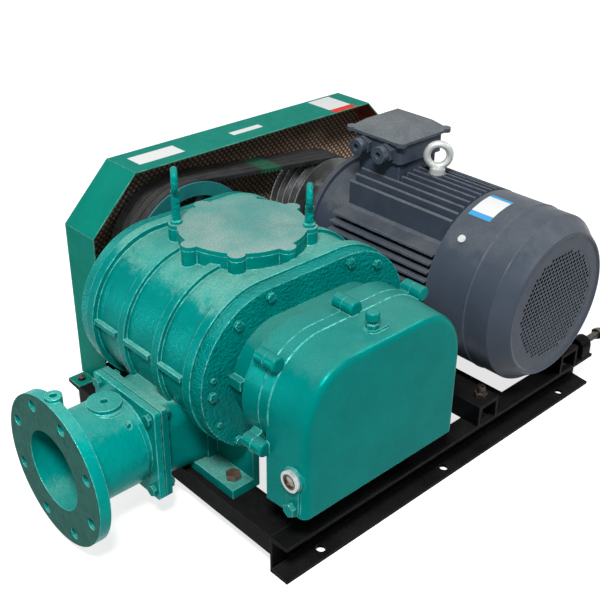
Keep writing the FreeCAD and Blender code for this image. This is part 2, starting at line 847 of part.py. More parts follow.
def gear_case():
    y_neck = -plate_face - case_neck_length
    neck = stadium(blower_x, rotor_height, rotor_spacing, case_neck_r, joint_y, -plate_face)
    band = stadium(blower_x, rotor_height, rotor_spacing, case_r, joint_y, y_neck)
    pieces = [neck, band] + bosses(joint_y, joint_y + boss_back)
    for x, z in boss_points()[1:]:
        side = 1 if x > blower_x else -1
        middle = Vector(blower_x + side * pitch_r, 0, rotor_height)
        reach = math.hypot(x - middle.x, z - middle.z)
        web = box(case_r - case_wall / 2, joint_y, -0.7 * boss_r, reach, joint_y + boss_back, 0.7 * boss_r)
        web.rotate(Vector(0, 0, 0), Vector(0, 1, 0), -math.degrees(math.atan2(z - middle.z, x - middle.x)))
        pieces.append(web.translated(middle))
    for side in (-1, 1):
        x0 = blower_x + side * (pitch_r + case_neck_r - 4)
        x1 = blower_x + side * (pitch_r + case_neck_r + case_lug_reach)
        low = case_lug_z - case_lug_reach
        pieces.append(box(x0, -plate_face - case_lug_depth, low, x1, -plate_face, case_lug_z + case_lug_reach))
    inner_neck = stadium(blower_x, rotor_height, rotor_spacing, case_neck_r - case_wall, joint_y - 1, -plate_face + 1)
    inner = stadium(blower_x, rotor_height, rotor_spacing, case_r - case_wall, joint_y - 1, y_neck - case_wall)
    lip = stadium(blower_x, rotor_height, rotor_spacing, case_r + 2, joint_y - 1, joint_y + joint_groove)
    lip = lip.cut(stadium(blower_x, rotor_height, rotor_spacing, case_r - joint_groove, joint_y - 2, joint_y + 2))
    tools = [inner_neck, inner, lip.cut(bosses(joint_y - 2, joint_y + 2))]
    tools += [rod_y(x, z, screw_d / 2, joint_y - 1, joint_y + boss_back + 1) for x, z in boss_points()]
    keep("gear_case", cut(join(pieces), tools))


def gear_cover():
    sump_back = joint_y - sump_step
    cover = cover_block(0, case_front_y, sump_back)
    front = [edge for edge in cover.Edges if edge.BoundBox.YMax < case_front_y + 0.01]
    rounded = [edge for edge in front if edge.BoundBox.ZMax > cover_bottom_z + 1]
    cover = cover.makeFillet(cover_edge_r, rounded)
    extras = [stadium(blower_x, rotor_height, rotor_spacing, case_r, sump_back - case_wall / 2, joint_y)]
    extras += [rounded_boss(x, z) for x, z in boss_points()]
    face_x = sight_face_x()
    inside = (1, 0, 0)
    extras.append(rod((face_x, sight_y, sight_z), inside, sight_pad_r, 2 * sight_pad_proud))
    extras.append(rod((face_x, sight_y, drain_z), inside, drain_pad_r, 2 * sight_pad_proud))
    strip = (face_x, sight_y - drain_pad_r, drain_z, face_x + 2 * sight_pad_proud, sight_y + drain_pad_r, sight_z)
    extras.append(box(*strip))
    top = breather_seat_z()
    pad = rod((breather_x, breather_y, top - 2 * breather_pad_proud), (0, 0, 1), breather_pad_r, 2 * breather_pad_proud)
    extras += [pad, pad.translated(Vector(1.6 * breather_pad_r, 0, 0))]
    extras.append(box(
        breather_x, breather_y - breather_pad_r, top - 2 * breather_pad_proud,
        breather_x + 1.6 * breather_pad_r, breather_y + breather_pad_r, top,
    ))
    cover = join([cover] + extras)
    room = cover_block(case_wall, case_front_y + case_wall, sump_back - case_wall)
    back = sump_back - case_wall - 1
    mouth = stadium(blower_x, rotor_height, rotor_spacing, case_r - case_wall, back, joint_y + 1)
    tools = [room, mouth]
    tools += [rod_y(x, z, screw_d / 2, joint_y - cover_thread, joint_y + 1) for x, z in boss_points()]
    reach = 2 * sight_pad_proud + case_wall
    tools.append(rod((face_x - 1, sight_y, sight_z), inside, sight_lens_r, reach))
    tools.append(rod((face_x - 1, sight_y, drain_z), inside, drain_stem_r, reach))
    tools.append(rod((breather_x, breather_y, top - 3 * case_wall), (0, 0, 1), drain_stem_r, 4 * case_wall))
    keep("gear_cover", cut(cover, tools))
    screws = []
    for x, z in boss_points():
        screws.append(hex_bolt((x, joint_y + boss_back, z), (0, 1, 0), screw_d, boss_back + cover_thread - 1))
    keep("case_screws", screws)


def rounded_boss(x, z):
    boss = rod_y(x, z, boss_r, joint_y - boss_front, joint_y)
    front = [edge for edge in boss.Edges if edge.BoundBox.YMax < joint_y - boss_front + 0.01]
    return boss.makeFillet(boss_edge_r, front)


def sight_face_x():
    """Outer face of the pads on the cover's left side, level with the sight glass."""
    slope = (case_r - cover_front_r) / cover_depth
    return blower_x - pitch_r - case_r + slope * (joint_y - sight_y) - sight_pad_proud


def breather_seat_z():
    slope = (case_r - cover_front_r) / cover_depth
    return rotor_height + case_r - slope * (joint_y - breather_y) + breather_pad_proud


def case_fittings():
    x = sight_face_x()
    ring = rod((x, sight_y, sight_z), (-1, 0, 0), sight_ring_r, sight_length)
    stem = rod((x, sight_y, sight_z), (1, 0, 0), sight_lens_r, case_wall)
    window_r = sight_lens_r - 2
    bore = rod((x - sight_length - 1, sight_y, sight_z), (1, 0, 0), window_r, 60)
    keep("sight_glass_ring", cut(join([ring, stem]), [bore]))
    keep("sight_glass_lens", rod((x - sight_length + 3, sight_y, sight_z), (1, 0, 0), window_r, 5))
    plug = hexagon((x, sight_y, drain_z), (-1, 0, 0), drain_hex, 9)
    keep("drain_plug", join([plug, rod((x, sight_y, drain_z), (1, 0, 0), drain_stem_r, 16)]))
    z = breather_seat_z()
    stem = rod((breather_x, breather_y, z - 14), (0, 0, 1), drain_stem_r, 14)
    hexa = hexagon((breather_x, breather_y, z), (0, 0, 1), 2 * breather_r - 4, 8)
    neck = rod((breather_x, breather_y, z), (0, 0, 1), breather_neck_r, breather_height - 2)
    low = z + breather_height / 2
    cap = rod((breather_x, breather_y, low), (0, 0, 1), breather_r, breather_height / 2)
    top = cap.makeFillet(5.0, [edge for edge in cap.Edges if edge.BoundBox.ZMin > z + breather_height - 1])
    keep("breather_plug", join([stem, hexa, neck, top]))


# Drive end cover and seal
def drive_end():
    y0 = plate_face
    y1 = y0 + drive_cover_depth
    cover = stadium(blower_x, rotor_height, rotor_spacing, cover_r, y0, y1)
    rear = [edge for edge in cover.Edges if edge.BoundBox.YMin > y1 - 0.01]
    cover = cover.makeFillet(8.0, rear)
    lip = stadium(blower_x, rotor_height, rotor_spacing, cover_r + 14, y0, y0 + 12)
    nose = rod_y(drive_x, rotor_height, seal_od / 2 + 10, y1 - 1, y1 + 8)
    whole = join([cover, lip, nose])
    inner = stadium(blower_x, rotor_height, rotor_spacing, cover_r - drive_cover_wall, y0 - 1, y1 - drive_cover_wall)
    tools = [inner, rod_y(drive_x, rotor_height, seal_od / 2, y1 + 8 - seal_width, y1 + 9)]
    tools.append(rod_y(drive_x, rotor_height, drive_end_d / 2 + 2, y0, y1 + 9))
    keep("drive_end_cover", cut(whole, tools))
    y = y1 + 8 - seal_width
    ring = rod_y(drive_x, rotor_height, seal_od / 2, y, y + seal_width)
    keep("shaft_seal", cut(ring, [rod_y(drive_x, rotor_height, drive_end_d / 2 + running_gap, y - 1, y + seal_width + 1)]))


# Pulleys and belts
def grooves(x, z, outer_r):
    tools = []
    half_top = belt_top / 2 + groove_gap
    lean = math.tan(math.radians(groove_angle / 2))
    half_low = half_top - groove_depth * lean
    for k in range(belt_count):
        y = pulley_front_y + pulley_edge + k * belt_pitch
        grow = 2.0
        points = [
            Vector(x, y - half_top - grow * lean, z + outer_r + grow), Vector(x, y + half_top + grow * lean, z + outer_r + grow),
            Vector(x, y + half_low, z + outer_r - groove_depth), Vector(x, y - half_low, z + outer_r - groove_depth),
        ]
        face = Part.Face(Part.makePolygon(points + points[:1]))
        tools.append(face.revolve(Vector(x, 0, z), Vector(0, 1, 0), 360))
    return tools


def driven_pulley():
    x, z = drive_x, rotor_height
    rim_in = driven_r - groove_depth - pulley_rim
    rim = rod_y(x, z, driven_r, pulley_front_y, pulley_back_y).cut(rod_y(x, z, rim_in, pulley_front_y - 1, pulley_back_y + 1))
    rim = rim.cut(grooves(x, z, driven_r))
    mid = (pulley_front_y + pulley_back_y) / 2
    hub = rod_y(x, z, pulley_hub_r, mid - pulley_hub_length / 2, mid + pulley_hub_length / 2)
    pieces = [rim, hub]
    for k in range(driven_spokes):
        spoke = box(pulley_hub_r - 6, mid - spoke_thick / 2, -spoke_width / 2, rim_in + 3, mid + spoke_thick / 2, spoke_width / 2)
        spoke.rotate(Vector(0, 0, 0), Vector(0, 1, 0), 360.0 / driven_spokes * k + 18)
        spoke.translate(Vector(x, 0, z))
        pieces.append(spoke)
    wheel = join(pieces)
    keep("driven_pulley", cut(wheel, [rod_y(x, z, drive_end_d / 2, pulley_front_y - 20, pulley_back_y + 20)]))


def motor_pulley():
    x, z = motor_x, motor_z
    wheel = rod_y(x, z, driver_r, pulley_front_y, pulley_back_y)
    wheel = wheel.cut(grooves(x, z, driver_r))
    dish = rod_y(x, z, driver_r - groove_depth - pulley_rim, pulley_front_y - 1, pulley_front_y + 28)
    dish = dish.cut(rod_y(x, z, pulley_hub_r + 6, pulley_front_y - 2, pulley_front_y + 30))
    keep("motor_pulley", cut(wheel, [dish, rod_y(x, z, motor_shaft_d / 2, pulley_front_y - 2, pulley_back_y + 2)]))


def belt_section(x, z, y, radial, reach):
    """The belt's four-sided section, standing out from the pulley axis along the unit vector radial."""
    lean = math.tan(math.radians(groove_angle / 2))
    top = reach + belt_proud
    low = top - belt_height
    half_top = belt_top / 2 + belt_proud * lean - 0.6
    half_low = half_top - belt_height * lean
    rx, rz = radial
    corners = [
        Vector(x + rx * top, y - half_top, z + rz * top), Vector(x + rx * top, y + half_top, z + rz * top),
        Vector(x + rx * low, y + half_low, z + rz * low), Vector(x + rx * low, y - half_low, z + rz * low),
    ]
    return Part.Face(Part.makePolygon(corners + corners[:1]))


def v_belts():
    dx = motor_x - drive_x
    dz = motor_z - rotor_height
    span = math.hypot(dx, dz)
    line = math.atan2(dz, dx)
    lift = math.acos((driven_r - driver_r) / span)
    belts = []
    straight = math.sqrt(span ** 2 - (driven_r - driver_r) ** 2)
    for k in range(belt_count):
        y = pulley_front_y + pulley_edge + k * belt_pitch
        pieces = []
        for side in (1, -1):
            turn = line + side * lift
            radial = (math.cos(turn), math.sin(turn))
            face = belt_section(drive_x, rotor_height, y, radial, driven_r)
            along = Vector(side * math.sin(turn), 0, -side * math.cos(turn)) * straight
            pieces.append(face.extrude(along))
        upper = line + lift
        big = belt_section(drive_x, rotor_height, y, (math.cos(upper), math.sin(upper)), driven_r)
        wrap = 360 - 2 * math.degrees(lift)
        pieces.append(big.revolve(Vector(drive_x, 0, rotor_height), Vector(0, -1, 0), wrap))
        small = belt_section(motor_x, motor_z, y, (math.cos(upper), math.sin(upper)), driver_r)
        pieces.append(small.revolve(Vector(motor_x, 0, motor_z), Vector(0, 1, 0), 2 * math.degrees(lift)))
        belts.append(join(pieces))
    keep("v_belts", belts)


# Outlet piece with its flap
def outlet_piece():
    face = outlet_face_x
    flange = rod((face, 0, outlet_z), (1, 0, 0), outlet_flange_d / 2, outlet_flange_thick)
    body_end = valve_back_x - duct_flange_thick - outlet_neck_length
    body = rod((face, 0, outlet_z), (1, 0, 0), outlet_body_r, body_end - face)
    neck = rod((face, 0, outlet_z), (1, 0, 0), outlet_neck_r, valve_back_x - face)
    back = square_flange(valve_back_x - duct_flange_thick, valve_back_x)
    pad = rod((pad_x, 0, outlet_z), (0, 0, 1), pad_r, pad_top)
    step = rod((pad_x, 0, outlet_z), (0, 0, 1), pad_r + 4, pad_top - 9)
    rim_top = outlet_z + outlet_flange_d / 2
    lug = rod((lug_x, 0, rim_top - 30), (0, 0, 1), lug_r, 36)
    whole = join([flange, body, neck, back, pad, step, lug])
    tools = [rod((face - 1, 0, outlet_z), (1, 0, 0), outlet_bore / 2, flap_seat_x - face + 1)]
    tools.append(rod((flap_seat_x - 1, 0, outlet_z), (1, 0, 0), flap_seat_r, valve_back_x - flap_seat_x + 2))
    for k in range(outlet_holes):
        turn = math.radians(360.0 / outlet_holes * (k + 0.5))
        y = outlet_pcd / 2 * math.sin(turn)
        z = outlet_z + outlet_pcd / 2 * math.cos(turn)
        tools.append(rod((face - 1, y, z), (1, 0, 0), outlet_hole_d / 2, outlet_flange_thick + 2))
    tools.append(rod((pad_x, 0, outlet_z + pad_top - 16), (0, 0, 1), pad_hole_d / 2, 20))
    tools.append(rod((lug_x, 0, rim_top - 18), (0, 0, 1), lug_hole_d / 2, 30))
    tools.append(rod((flap_pin_x(), -outlet_body_r - 1, flap_pin_height()), (0, 1, 0), flap_pin_d / 2, 2 * outlet_body_r + 2))
    # Pocket in the roof for the flap's knuckles
    pocket = box(flap_pin_x() - 16, -30, outlet_z + 40, flap_seat_x, 30, flap_pin_height() + pin_room)
    tools.append(pocket)
    keep("outlet_piece", cut(whole, tools))


def flap_pin_x():
    return flap_seat_x - flap_pin_back


def flap_pin_height():
    return outlet_z + flap_pin_z


def valve_flap():
    x = flap_seat_x - 0.4
    pin_x, pin_z = flap_pin_x(), flap_pin_height()
    disc = rod((x - flap_thick, 0, outlet_z - 3), (1, 0, 0), flap_r - 3, flap_thick)
    dome = rod((x - flap_thick - 4, 0, outlet_z - 3), (1, 0, 0), 24, 5)
    knuckles = []
    for y in (-26, 14):
        knuckles.append(rod((pin_x, y, pin_z), (0, 1, 0), flap_pin_d / 2 + 4, 12))
        knuckles.append(box(pin_x - 3, y, outlet_z + 30, x, y + 12, pin_z))
    whole = join([disc, dome] + knuckles)
    bore = rod((pin_x, -60, pin_z), (0, 1, 0), flap_pin_d / 2 + running_gap, 120)
    keep("valve_flap", cut(whole, [bore]))
    pin = rod((pin_x, -outlet_body_r + 30, pin_z), (0, 1, 0), flap_pin_d / 2, 2 * (outlet_body_r - 30))
    keep("flap_pin", pin)


def duct_joint():
    gasket = square_flange(valve_back_x, duct_flange_x)
    keep("duct_gasket", gasket.cut(rod((valve_back_x - 1, 0, outlet_z), (1, 0, 0), outlet_bore / 2, 10)))
    bolts = []
    for sy in (-1, 1):
        for sz in (-1, 1):
            y = sy * duct_bolt_half
            z = outlet_z + sz * duct_bolt_half
            seat = (valve_back_x - duct_flange_thick, y, z)
            length = 2 * duct_flange_thick + gasket_thick
            bolt = hex_bolt(seat, (-1, 0, 0), duct_bolt_d, length + duct_stud_end)
            nut = hexagon((duct_flange_x + duct_flange_thick, y, z), (1, 0, 0), 1.6 * duct_bolt_d, 0.8 * duct_bolt_d)
            bolts.append(join([bolt, nut]))
    keep("duct_bolts", bolts)


def foot_bolts():
    bolts = []
    for x in foot_x:
        for y in (-foot_bolt_y, foot_bolt_y):
            bolts.append(hex_bolt((x, y, foot_top_z), (0, 0, 1), foot_bolt_d, foot_bolt_shank))
    keep("blower_foot_bolts", bolts)


# Motor
def fins():
    """Upright fins above and below, level fins at the sides, all trimmed to one circle."""
    pieces = []
    y0, y1 = frame_front_y + 8, fin_back_y
    reach = fin_r + 20
    count = int(fin_half_top / fin_pitch)
    for k in range(-count, count + 1):
        x = motor_x + k * fin_pitch
        pieces.append(box(x - fin_thick / 2, y0, motor_z - reach, x + fin_thick / 2, y1, motor_z + reach))
    count = int(fin_half_side / fin_pitch)
    for k in range(-count, count + 1):
        z = motor_z + k * fin_pitch
        pieces.append(box(motor_x - reach, y0, z - fin_thick / 2, motor_x + reach, y1, z + fin_thick / 2))
    ring = rod_y(motor_x, motor_z, fin_r, y0, y1).cut(rod_y(motor_x, motor_z, frame_r - 2, y0 - 1, y1 + 1))
    corner = []
    for sx in (-1, 1):
        for sz in (-1, 1):
            near_x = motor_x + sx * (fin_half_top - 1)
            near_z = motor_z + sz * (fin_half_side - 1)
            corner.append(box(near_x, y0 - 1, near_z, near_x + sx * 100, y1 + 1, near_z + sz * 100))
    return [piece.common(ring).cut(corner) for piece in pieces]


def motor_frame():
    tube = rod_y(motor_x, motor_z, frame_r, frame_front_y, frame_back_y)
    pieces = [tube] + fins()
    y_feet = foot_hole_y
    foot_y0 = y_feet[1] - 24
    foot_y1 = y_feet[0] + 24
    for side in (-1, 1):
        x0 = motor_x + side * motor_foot_inner
        x1 = motor_x + side * (foot_span / 2 + motor_foot_width / 2 - 4)
        for y in y_feet:
            pieces.append(box(x0, y - 28, motor_foot_z, x1, y + 28, motor_foot_z + motor_foot_thick))
            for dy in ((18,) if y < 0 else (-28, 18)):
                outline = [
                    (x0, motor_foot_z), (x1 - side * 6, motor_foot_z), (x1 - side * 6, motor_foot_z + motor_foot_thick),
                    (motor_x + side * frame_r * 0.97, motor_z - 60), (x0, motor_z - 60),
                ]
                pieces.append(prism_y(outline, y + dy, y + dy + 10))
        pieces.append(box(x0, foot_y0 + 20, motor_foot_z, x0 + side * 14, foot_y1 - 20, motor_z - frame_r * 0.72))
    neck_low = motor_z + frame_r - 30
    half = neck_size / 2
    pieces.append(box(box_x - half, box_y - half, neck_low, box_x + half, box_y + half, box_bottom_z))
    boss_z = eye_seat_z
    pieces.append(rod((motor_x, eye_y, motor_z + frame_r - 20), (0, 0, 1), 19, boss_z - motor_z - frame_r + 20))
    whole = join(pieces)
    tools = [rod_y(motor_x, motor_z, frame_r - frame_wall, frame_front_y - 1, frame_back_y + 1)]
    for x in beam_x:
        for y in y_feet:
            tools.append(rod((x, y, 0), (0, 0, 1), motor_bolt_d / 2, motor_foot_z + 100))
            tools.append(rod((x, y, motor_foot_z + motor_foot_thick), (0, 0, 1), motor_bolt_d, 40))
    tools.append(rod((box_x, box_y, neck_low - 60), (0, 0, 1), 40, 300))
    tools.append(rod((motor_x, eye_y, boss_z - 26), (0, 0, 1), 9.0, 40))
    keep("motor_frame", cut(whole, tools))


def endshields():
    lip = frame_r - frame_wall
    y0 = frame_back_y
    y1 = shaft_shoulder_y - 3
    bell = Part.makeCone(frame_r + 10, shield_nose_r + 12, y1 - y0 - 12, Vector(motor_x, y0 + 12, motor_z), Vector(0, 1, 0))
    rim = rod_y(motor_x, motor_z, frame_r + 10, y0, y0 + 12)
    spigot = rod_y(motor_x, motor_z, lip, y0 - 12, y0)
    whole = join([bell, rim, spigot])
    seat = y1 - 12 - motor_bearing_width
    tools = [rod_y(motor_x, motor_z, motor_bearing_od / 2, seat, seat + motor_bearing_width)]
    tools.append(rod_y(motor_x, motor_z, lip - 14, y0 - 13, y0 + 8))
    tools.append(rod_y(motor_x, motor_z, motor_bearing_od / 2 - 8, y0, seat + 1))
    tools.append(rod_y(motor_x, motor_z, motor_shaft_d / 2 + 6, seat, y1 + 1))
    keep("drive_endshield", cut(whole, tools))
    y0 = frame_front_y - shield_thick
    plate = rod_y(motor_x, motor_z, frame_r + 8, frame_front_y - 12, frame_front_y)
    nose = Part.makeCone(shield_nose_r, frame_r - 10, shield_thick - 12, Vector(motor_x, y0, motor_z), Vector(0, 1, 0))
    spigot = rod_y(motor_x, motor_z, lip, frame_front_y, frame_front_y + 12)
    lugs = []
    for turn in cowl_turns():
        lug = box(frame_r - 30, -cowl_lug_width / 2, -cowl_lug_depth, frame_r + 9, cowl_lug_width / 2, -1)
        lug.rotate(Vector(0, 0, 0), Vector(1, 0, 0), -90)
        lug.rotate(Vector(0, 0, 0), Vector(0, 1, 0), -turn)
        lugs.append(lug.translated(Vector(motor_x, frame_front_y, motor_z)))
    whole = join([plate, nose, spigot] + lugs)
    seat = y0 + 10
    tools = [rod_y(motor_x, motor_z, motor_bearing_od / 2, seat, seat + motor_bearing_width)]
    tools.append(rod_y(motor_x, motor_z, lip - 14, frame_front_y - 8, frame_front_y + 13))
    tools.append(rod_y(motor_x, motor_z, motor_bearing_od / 2 - 8, seat, frame_front_y))
    tools.append(rod_y(motor_x, motor_z, motor_shaft_d / 2 + 4, y0 - 1, seat + 1))
    for turn in cowl_turns():
        c, s = math.cos(math.radians(turn)), math.sin(math.radians(turn))
        r = frame_r - 6
        seat_at = (motor_x + r * c, cowl_screw_y(), motor_z + r * s)
        tools.append(rod(seat_at, (c, 0, s), cowl_screw_d / 2, 40))
    keep("fan_endshield", cut(whole, tools))
    front_seat = frame_front_y - shield_thick + 10
    rear_seat = shaft_shoulder_y - 15 - motor_bearing_width
    keep("motor_bearings", [
        bearing(motor_x, motor_z, y, motor_bearing_od, motor_shaft_d + 2, motor_bearing_width)
        for y in (front_seat, rear_seat)
    ])


def cowl_turns():
    return cowl_screw_turn, 180 - cowl_screw_turn, 180 + cowl_screw_turn, 360 - cowl_screw_turn


def cowl_screw_y():
    return frame_front_y - cowl_lug_depth + cowl_lug_width / 2


def fan_cowl():
    """Spun sheet hood: a straight skirt, a pressed shoulder and a flat grille face."""
    y0, y1 = cowl_front_y, frame_front_y + 4
    bend = y0 + cowl_shoulder
    outer = [(0, y0), (cowl_face_r, y0), (cowl_face_r + 6, y0 + 5), (cowl_r, bend), (cowl_r, y1)]
    w = cowl_wall
    inner = [(cowl_r - w, y1), (cowl_r - w, bend), (cowl_face_r + 5 - w, y0 + 6), (cowl_face_r - 1, y0 + w), (0, y0 + w)]
    points = [Vector(motor_x + r, y, motor_z) for r, y in outer + inner]
    face = Part.Face(Part.makePolygon(points + points[:1]))
    hood = face.revolve(Vector(motor_x, 0, motor_z), Vector(0, 1, 0), 360)
    screws = []
    holes = []
    y = cowl_screw_y()
    for turn in cowl_turns():
        c, s = math.cos(math.radians(turn)), math.sin(math.radians(turn))
        r = frame_r - 5
        seat = (motor_x + r * c, y, motor_z + r * s)
        head = rod((motor_x + cowl_r * c, y, motor_z + cowl_r * s), (c, 0, s), cowl_screw_d, 0.4 * cowl_screw_d)
        screws.append(join([rod(seat, (c, 0, s), cowl_screw_d / 2, cowl_r - r + 1), head]))
        holes.append(rod(seat, (c, 0, s), cowl_screw_d / 2, cowl_r - r + 1))
    keep("fan_cowl", cut(hood, holes))
    keep("cowl_screws", screws)


def motor_inner():
    x, z = motor_x, motor_z
    seat = (motor_shaft_d + 2) / 2
    front_seat = frame_front_y - shield_thick + 10
    rear_seat = shaft_shoulder_y - 15 - motor_bearing_width
    fan_y = front_seat - 22 - fan_width
    pieces = [
        rod_y(x, z, motor_shaft_d / 2, rear_seat, motor_end_y),
        rod_y(x, z, seat, front_seat, rear_seat + motor_bearing_width + 4),
        rod_y(x, z, seat + 8, front_seat + motor_bearing_width, rear_seat),
        rod_y(x, z, 19.0, fan_y - 4, front_seat),
    ]
    keep("motor_shaft", join(pieces))
    mid = (frame_front_y + frame_back_y) / 2
    y0, y1 = mid - core_length / 2, mid + core_length / 2
    core = rod_y(x, z, stator_bore_r - air_gap, y0, y1)
    cage = rod_y(x, z, stator_bore_r - 12, y0 - 14, y1 + 14)
    keep("motor_rotor_core", cut(join([core, cage]), [rod_y(x, z, seat + 8, y0 - 20, y1 + 20)]))
    stack = rod_y(x, z, frame_r - frame_wall, y0, y1)
    coil = rod_y(x, z, stator_r - 8, y0 - 34, y1 + 34)
    bore = rod_y(x, z, stator_bore_r, y0 - 40, y1 + 40)
    keep("stator_core", cut(stack, [bore]))
    windings = []
    for a, b in ((y0 - 34, y0), (y1, y1 + 34)):
        turn = coil.common(rod_y(x, z, stator_r, a, b)).cut(rod_y(x, z, stator_bore_r + 8, a - 1, b + 1))
        windings.append(turn)
    keep("stator_windings", windings)
    hub = rod_y(x, z, 32.0, fan_y, fan_y + fan_width)
    disc = rod_y(x, z, fan_r - 6, fan_y + fan_width - 4, fan_y + fan_width)
    blades = []
    for k in range(fan_blades):
        blade = box(28, fan_y, -2, fan_r, fan_y + fan_width, 2)
        blade.rotate(Vector(0, 0, 0), Vector(0, 1, 0), 360.0 / fan_blades * k)
        blade.translate(Vector(x, 0, z))
        blades.append(blade)
    keep("motor_fan", cut(join([hub, disc] + blades), [rod_y(x, z, 19.0, fan_y - 1, fan_y + fan_width + 1)]))


def terminal_box():
    half = box_size / 2
    shell = box(box_x - half, box_y - half, box_bottom_z, box_x + half, box_y + half, box_top_z)
    uprights = [e for e in shell.Edges if abs(e.Vertexes[0].Z - e.Vertexes[-1].Z) > 1]
    shell = shell.makeFillet(10.0, uprights)
    inner = box(box_x - half + box_wall, box_y - half + box_wall, box_bottom_z + box_wall,
                box_x + half - box_wall, box_y + half - box_wall, box_top_z + 1)
    tools = [inner, rod((box_x, box_y, box_bottom_z - 1), (0, 0, 1), 40, 20)]
    glands = []
    z = (box_bottom_z + box_top_z) / 2 - 2
    for y in (box_y - gland_pitch / 2, box_y + gland_pitch / 2):
        wall_x = box_x - half
        tools.append(rod((wall_x - 1, y, z), (1, 0, 0), gland_d / 2 - 2, 20))
        body = rod((wall_x - gland_length, y, z), (1, 0, 0), gland_d / 2 - 2, gland_length + box_wall)
        nut = hexagon((wall_x, y, z), (-1, 0, 0), gland_d + 4, 12)
        dome = rod((wall_x - gland_length, y, z), (1, 0, 0), gland_d / 2 + 2, 14)
        bore = rod((wall_x - gland_length - 1, y, z), (1, 0, 0), gland_bore / 2, gland_length + 30)
        glands.append(cut(join([body, nut, dome]), [bore]))
    keep("terminal_box", cut(shell, tools))
    keep("cable_glands", glands)
    wide = lid_size / 2
    low = box(box_x - wide, box_y - wide, box_top_z, box_x + wide, box_y + wide, box_top_z + 6)
    base = []
    for size, z in ((wide, box_top_z + 6), (wide - lid_bevel, box_top_z + lid_height)):
        ring = [Vector(box_x + sx * size, box_y + sy * size, z) for sx, sy in ((-1, -1), (1, -1), (1, 1), (-1, 1), (-1, -1))]
        base.append(Part.makePolygon(ring))
    ears = []
    for sx, sy in ((-1, -1), (1, -1), (1, 1), (-1, 1)):
        at = (box_x + sx * (wide - lid_ear_r / 2), box_y + sy * (wide - lid_ear_r / 2), box_top_z)
        ears.append(rod(at, (0, 0, 1), lid_ear_r, 9))
    keep("terminal_lid", join([low, Part.makeLoft(base, True, True)] + ears))


def motor_eye():
    z = eye_seat_z
    ring = Part.makeTorus(eye_outer_r - eye_wire_r, eye_wire_r, Vector(motor_x, eye_y, eye_z), Vector(1, 1, 0))
    collar = rod((motor_x, eye_y, z), (0, 0, 1), 16.0, 12)
    stem = rod((motor_x, eye_y, z - 24), (0, 0, 1), 9.0, 26)
    neck = rod((motor_x, eye_y, z + 10), (0, 0, 1), 9.0, 6)
    keep("motor_eye", join([ring, collar, neck, stem]))


# Motor beams with their clamps and adjusting screws
def motor_beam(x):
    half = beam_width / 2
    inner = half - beam_side
    under = motor_foot_z - beam_web
    outline = [
        (x - half, rail_height), (x - half, motor_foot_z), (x + half, motor_foot_z), (x + half, rail_height),
        (x + inner, rail_height), (x + inner, under), (x - inner, under), (x - inner, rail_height),
    ]
    beam = prism_y(outline, -beam_end_y, beam_end_y)
    holes = [rod((x, y, 0), (0, 0, 1), motor_bolt_d / 2, motor_foot_z + 1) for y in foot_hole_y]
    holes += [rod((x, y, 0), (0, 0, 1), clamp_bolt_d / 2, motor_foot_z + 1) for y in (-slot_y, slot_y)]
    return cut(beam, holes)


def clamp_bolt(x, y):
    low = rail_height - rail_flange_thick - rail_taper
    head = hexagon((x, y, low), (0, 0, -1), 1.5 * clamp_bolt_d, 0.6 * clamp_bolt_d)
    stud = rod((x, y, low), (0, 0, 1), clamp_bolt_d / 2, motor_foot_z - low + clamp_bolt_stick)
    nut = hexagon((x, y, motor_foot_z), (0, 0, 1), 1.5 * clamp_bolt_d, 0.8 * clamp_bolt_d)
    return join([head, stud, nut])


def bracket(y):
    top = adjuster_z + bracket_width / 2
    x1 = bracket_left + bracket_length
    slab = box(bracket_left, y - bracket_width / 2, rail_height, x1, y + bracket_width / 2, adjuster_z)
    crown = rod((bracket_left, y, adjuster_z), (1, 0, 0), bracket_width / 2, bracket_length)
    block = join([slab, crown]).common(box(bracket_left, y - 100, rail_height, x1, y + 100, top))
    hole = rod((bracket_left - 1, y, adjuster_z), (1, 0, 0), adjuster_d / 2 + running_gap, bracket_length + 2)
    return cut(block, [hole])


def motor_slide():
    keep("motor_beams", [motor_beam(x) for x in beam_x])
    keep("clamp_bolts", [clamp_bolt(x, y) for x in beam_x for y in (-slot_y, slot_y)])
    keep("adjusting_brackets", [bracket(y) for y in (-bracket_y, bracket_y)])
    screws = []
    start = beam_x[1] + beam_width / 2
    for y in (-bracket_y, bracket_y):
        stem = rod((start, y, adjuster_z), (1, 0, 0), adjuster_d / 2, adjuster_length)
        head = hexagon((start + adjuster_length, y, adjuster_z), (1, 0, 0), adjuster_hex, 10)
        screws.append(join([stem, head]))
    keep("adjusting_screws", screws)
    bolts = []
    for x in beam_x:
        for y in foot_hole_y:
            bolt = hex_bolt((x, y, motor_foot_z + motor_foot_thick), (0, 0, 1), motor_bolt_d, motor_bolt_shank)
            nut = hexagon((x, y, motor_foot_z - beam_web), (0, 0, -1), 1.6 * motor_bolt_d, 0.8 * motor_bolt_d)
            bolts.append(join([bolt, nut]))
    keep("motor_foot_bolts", bolts)


# Belt guard
def mesh_sheet(y0, y1):
    """The rear mesh, as a plain grid of openings inside a solid border."""
    sheet = guard_space(guard_sheet, y0, y1)
    wide = (guard_right - guard_left) / mesh_columns
    high = (guard_top_z - rail_height) / mesh_rows
    cells = []
    for i in range(mesh_columns):
        for k in range(mesh_rows):
            x = guard_left + i * wide
            z = rail_height + k * high
            gap = mesh_bar / 2
            cells.append(box(x + gap, y0 - 1, z + gap, x + wide - gap, y1 + 1, z + high - gap))
    field = guard_space(guard_sheet + mesh_border, y0 - 1, y1 + 1)
    return sheet.cut(Part.makeCompound(cells).common(field))


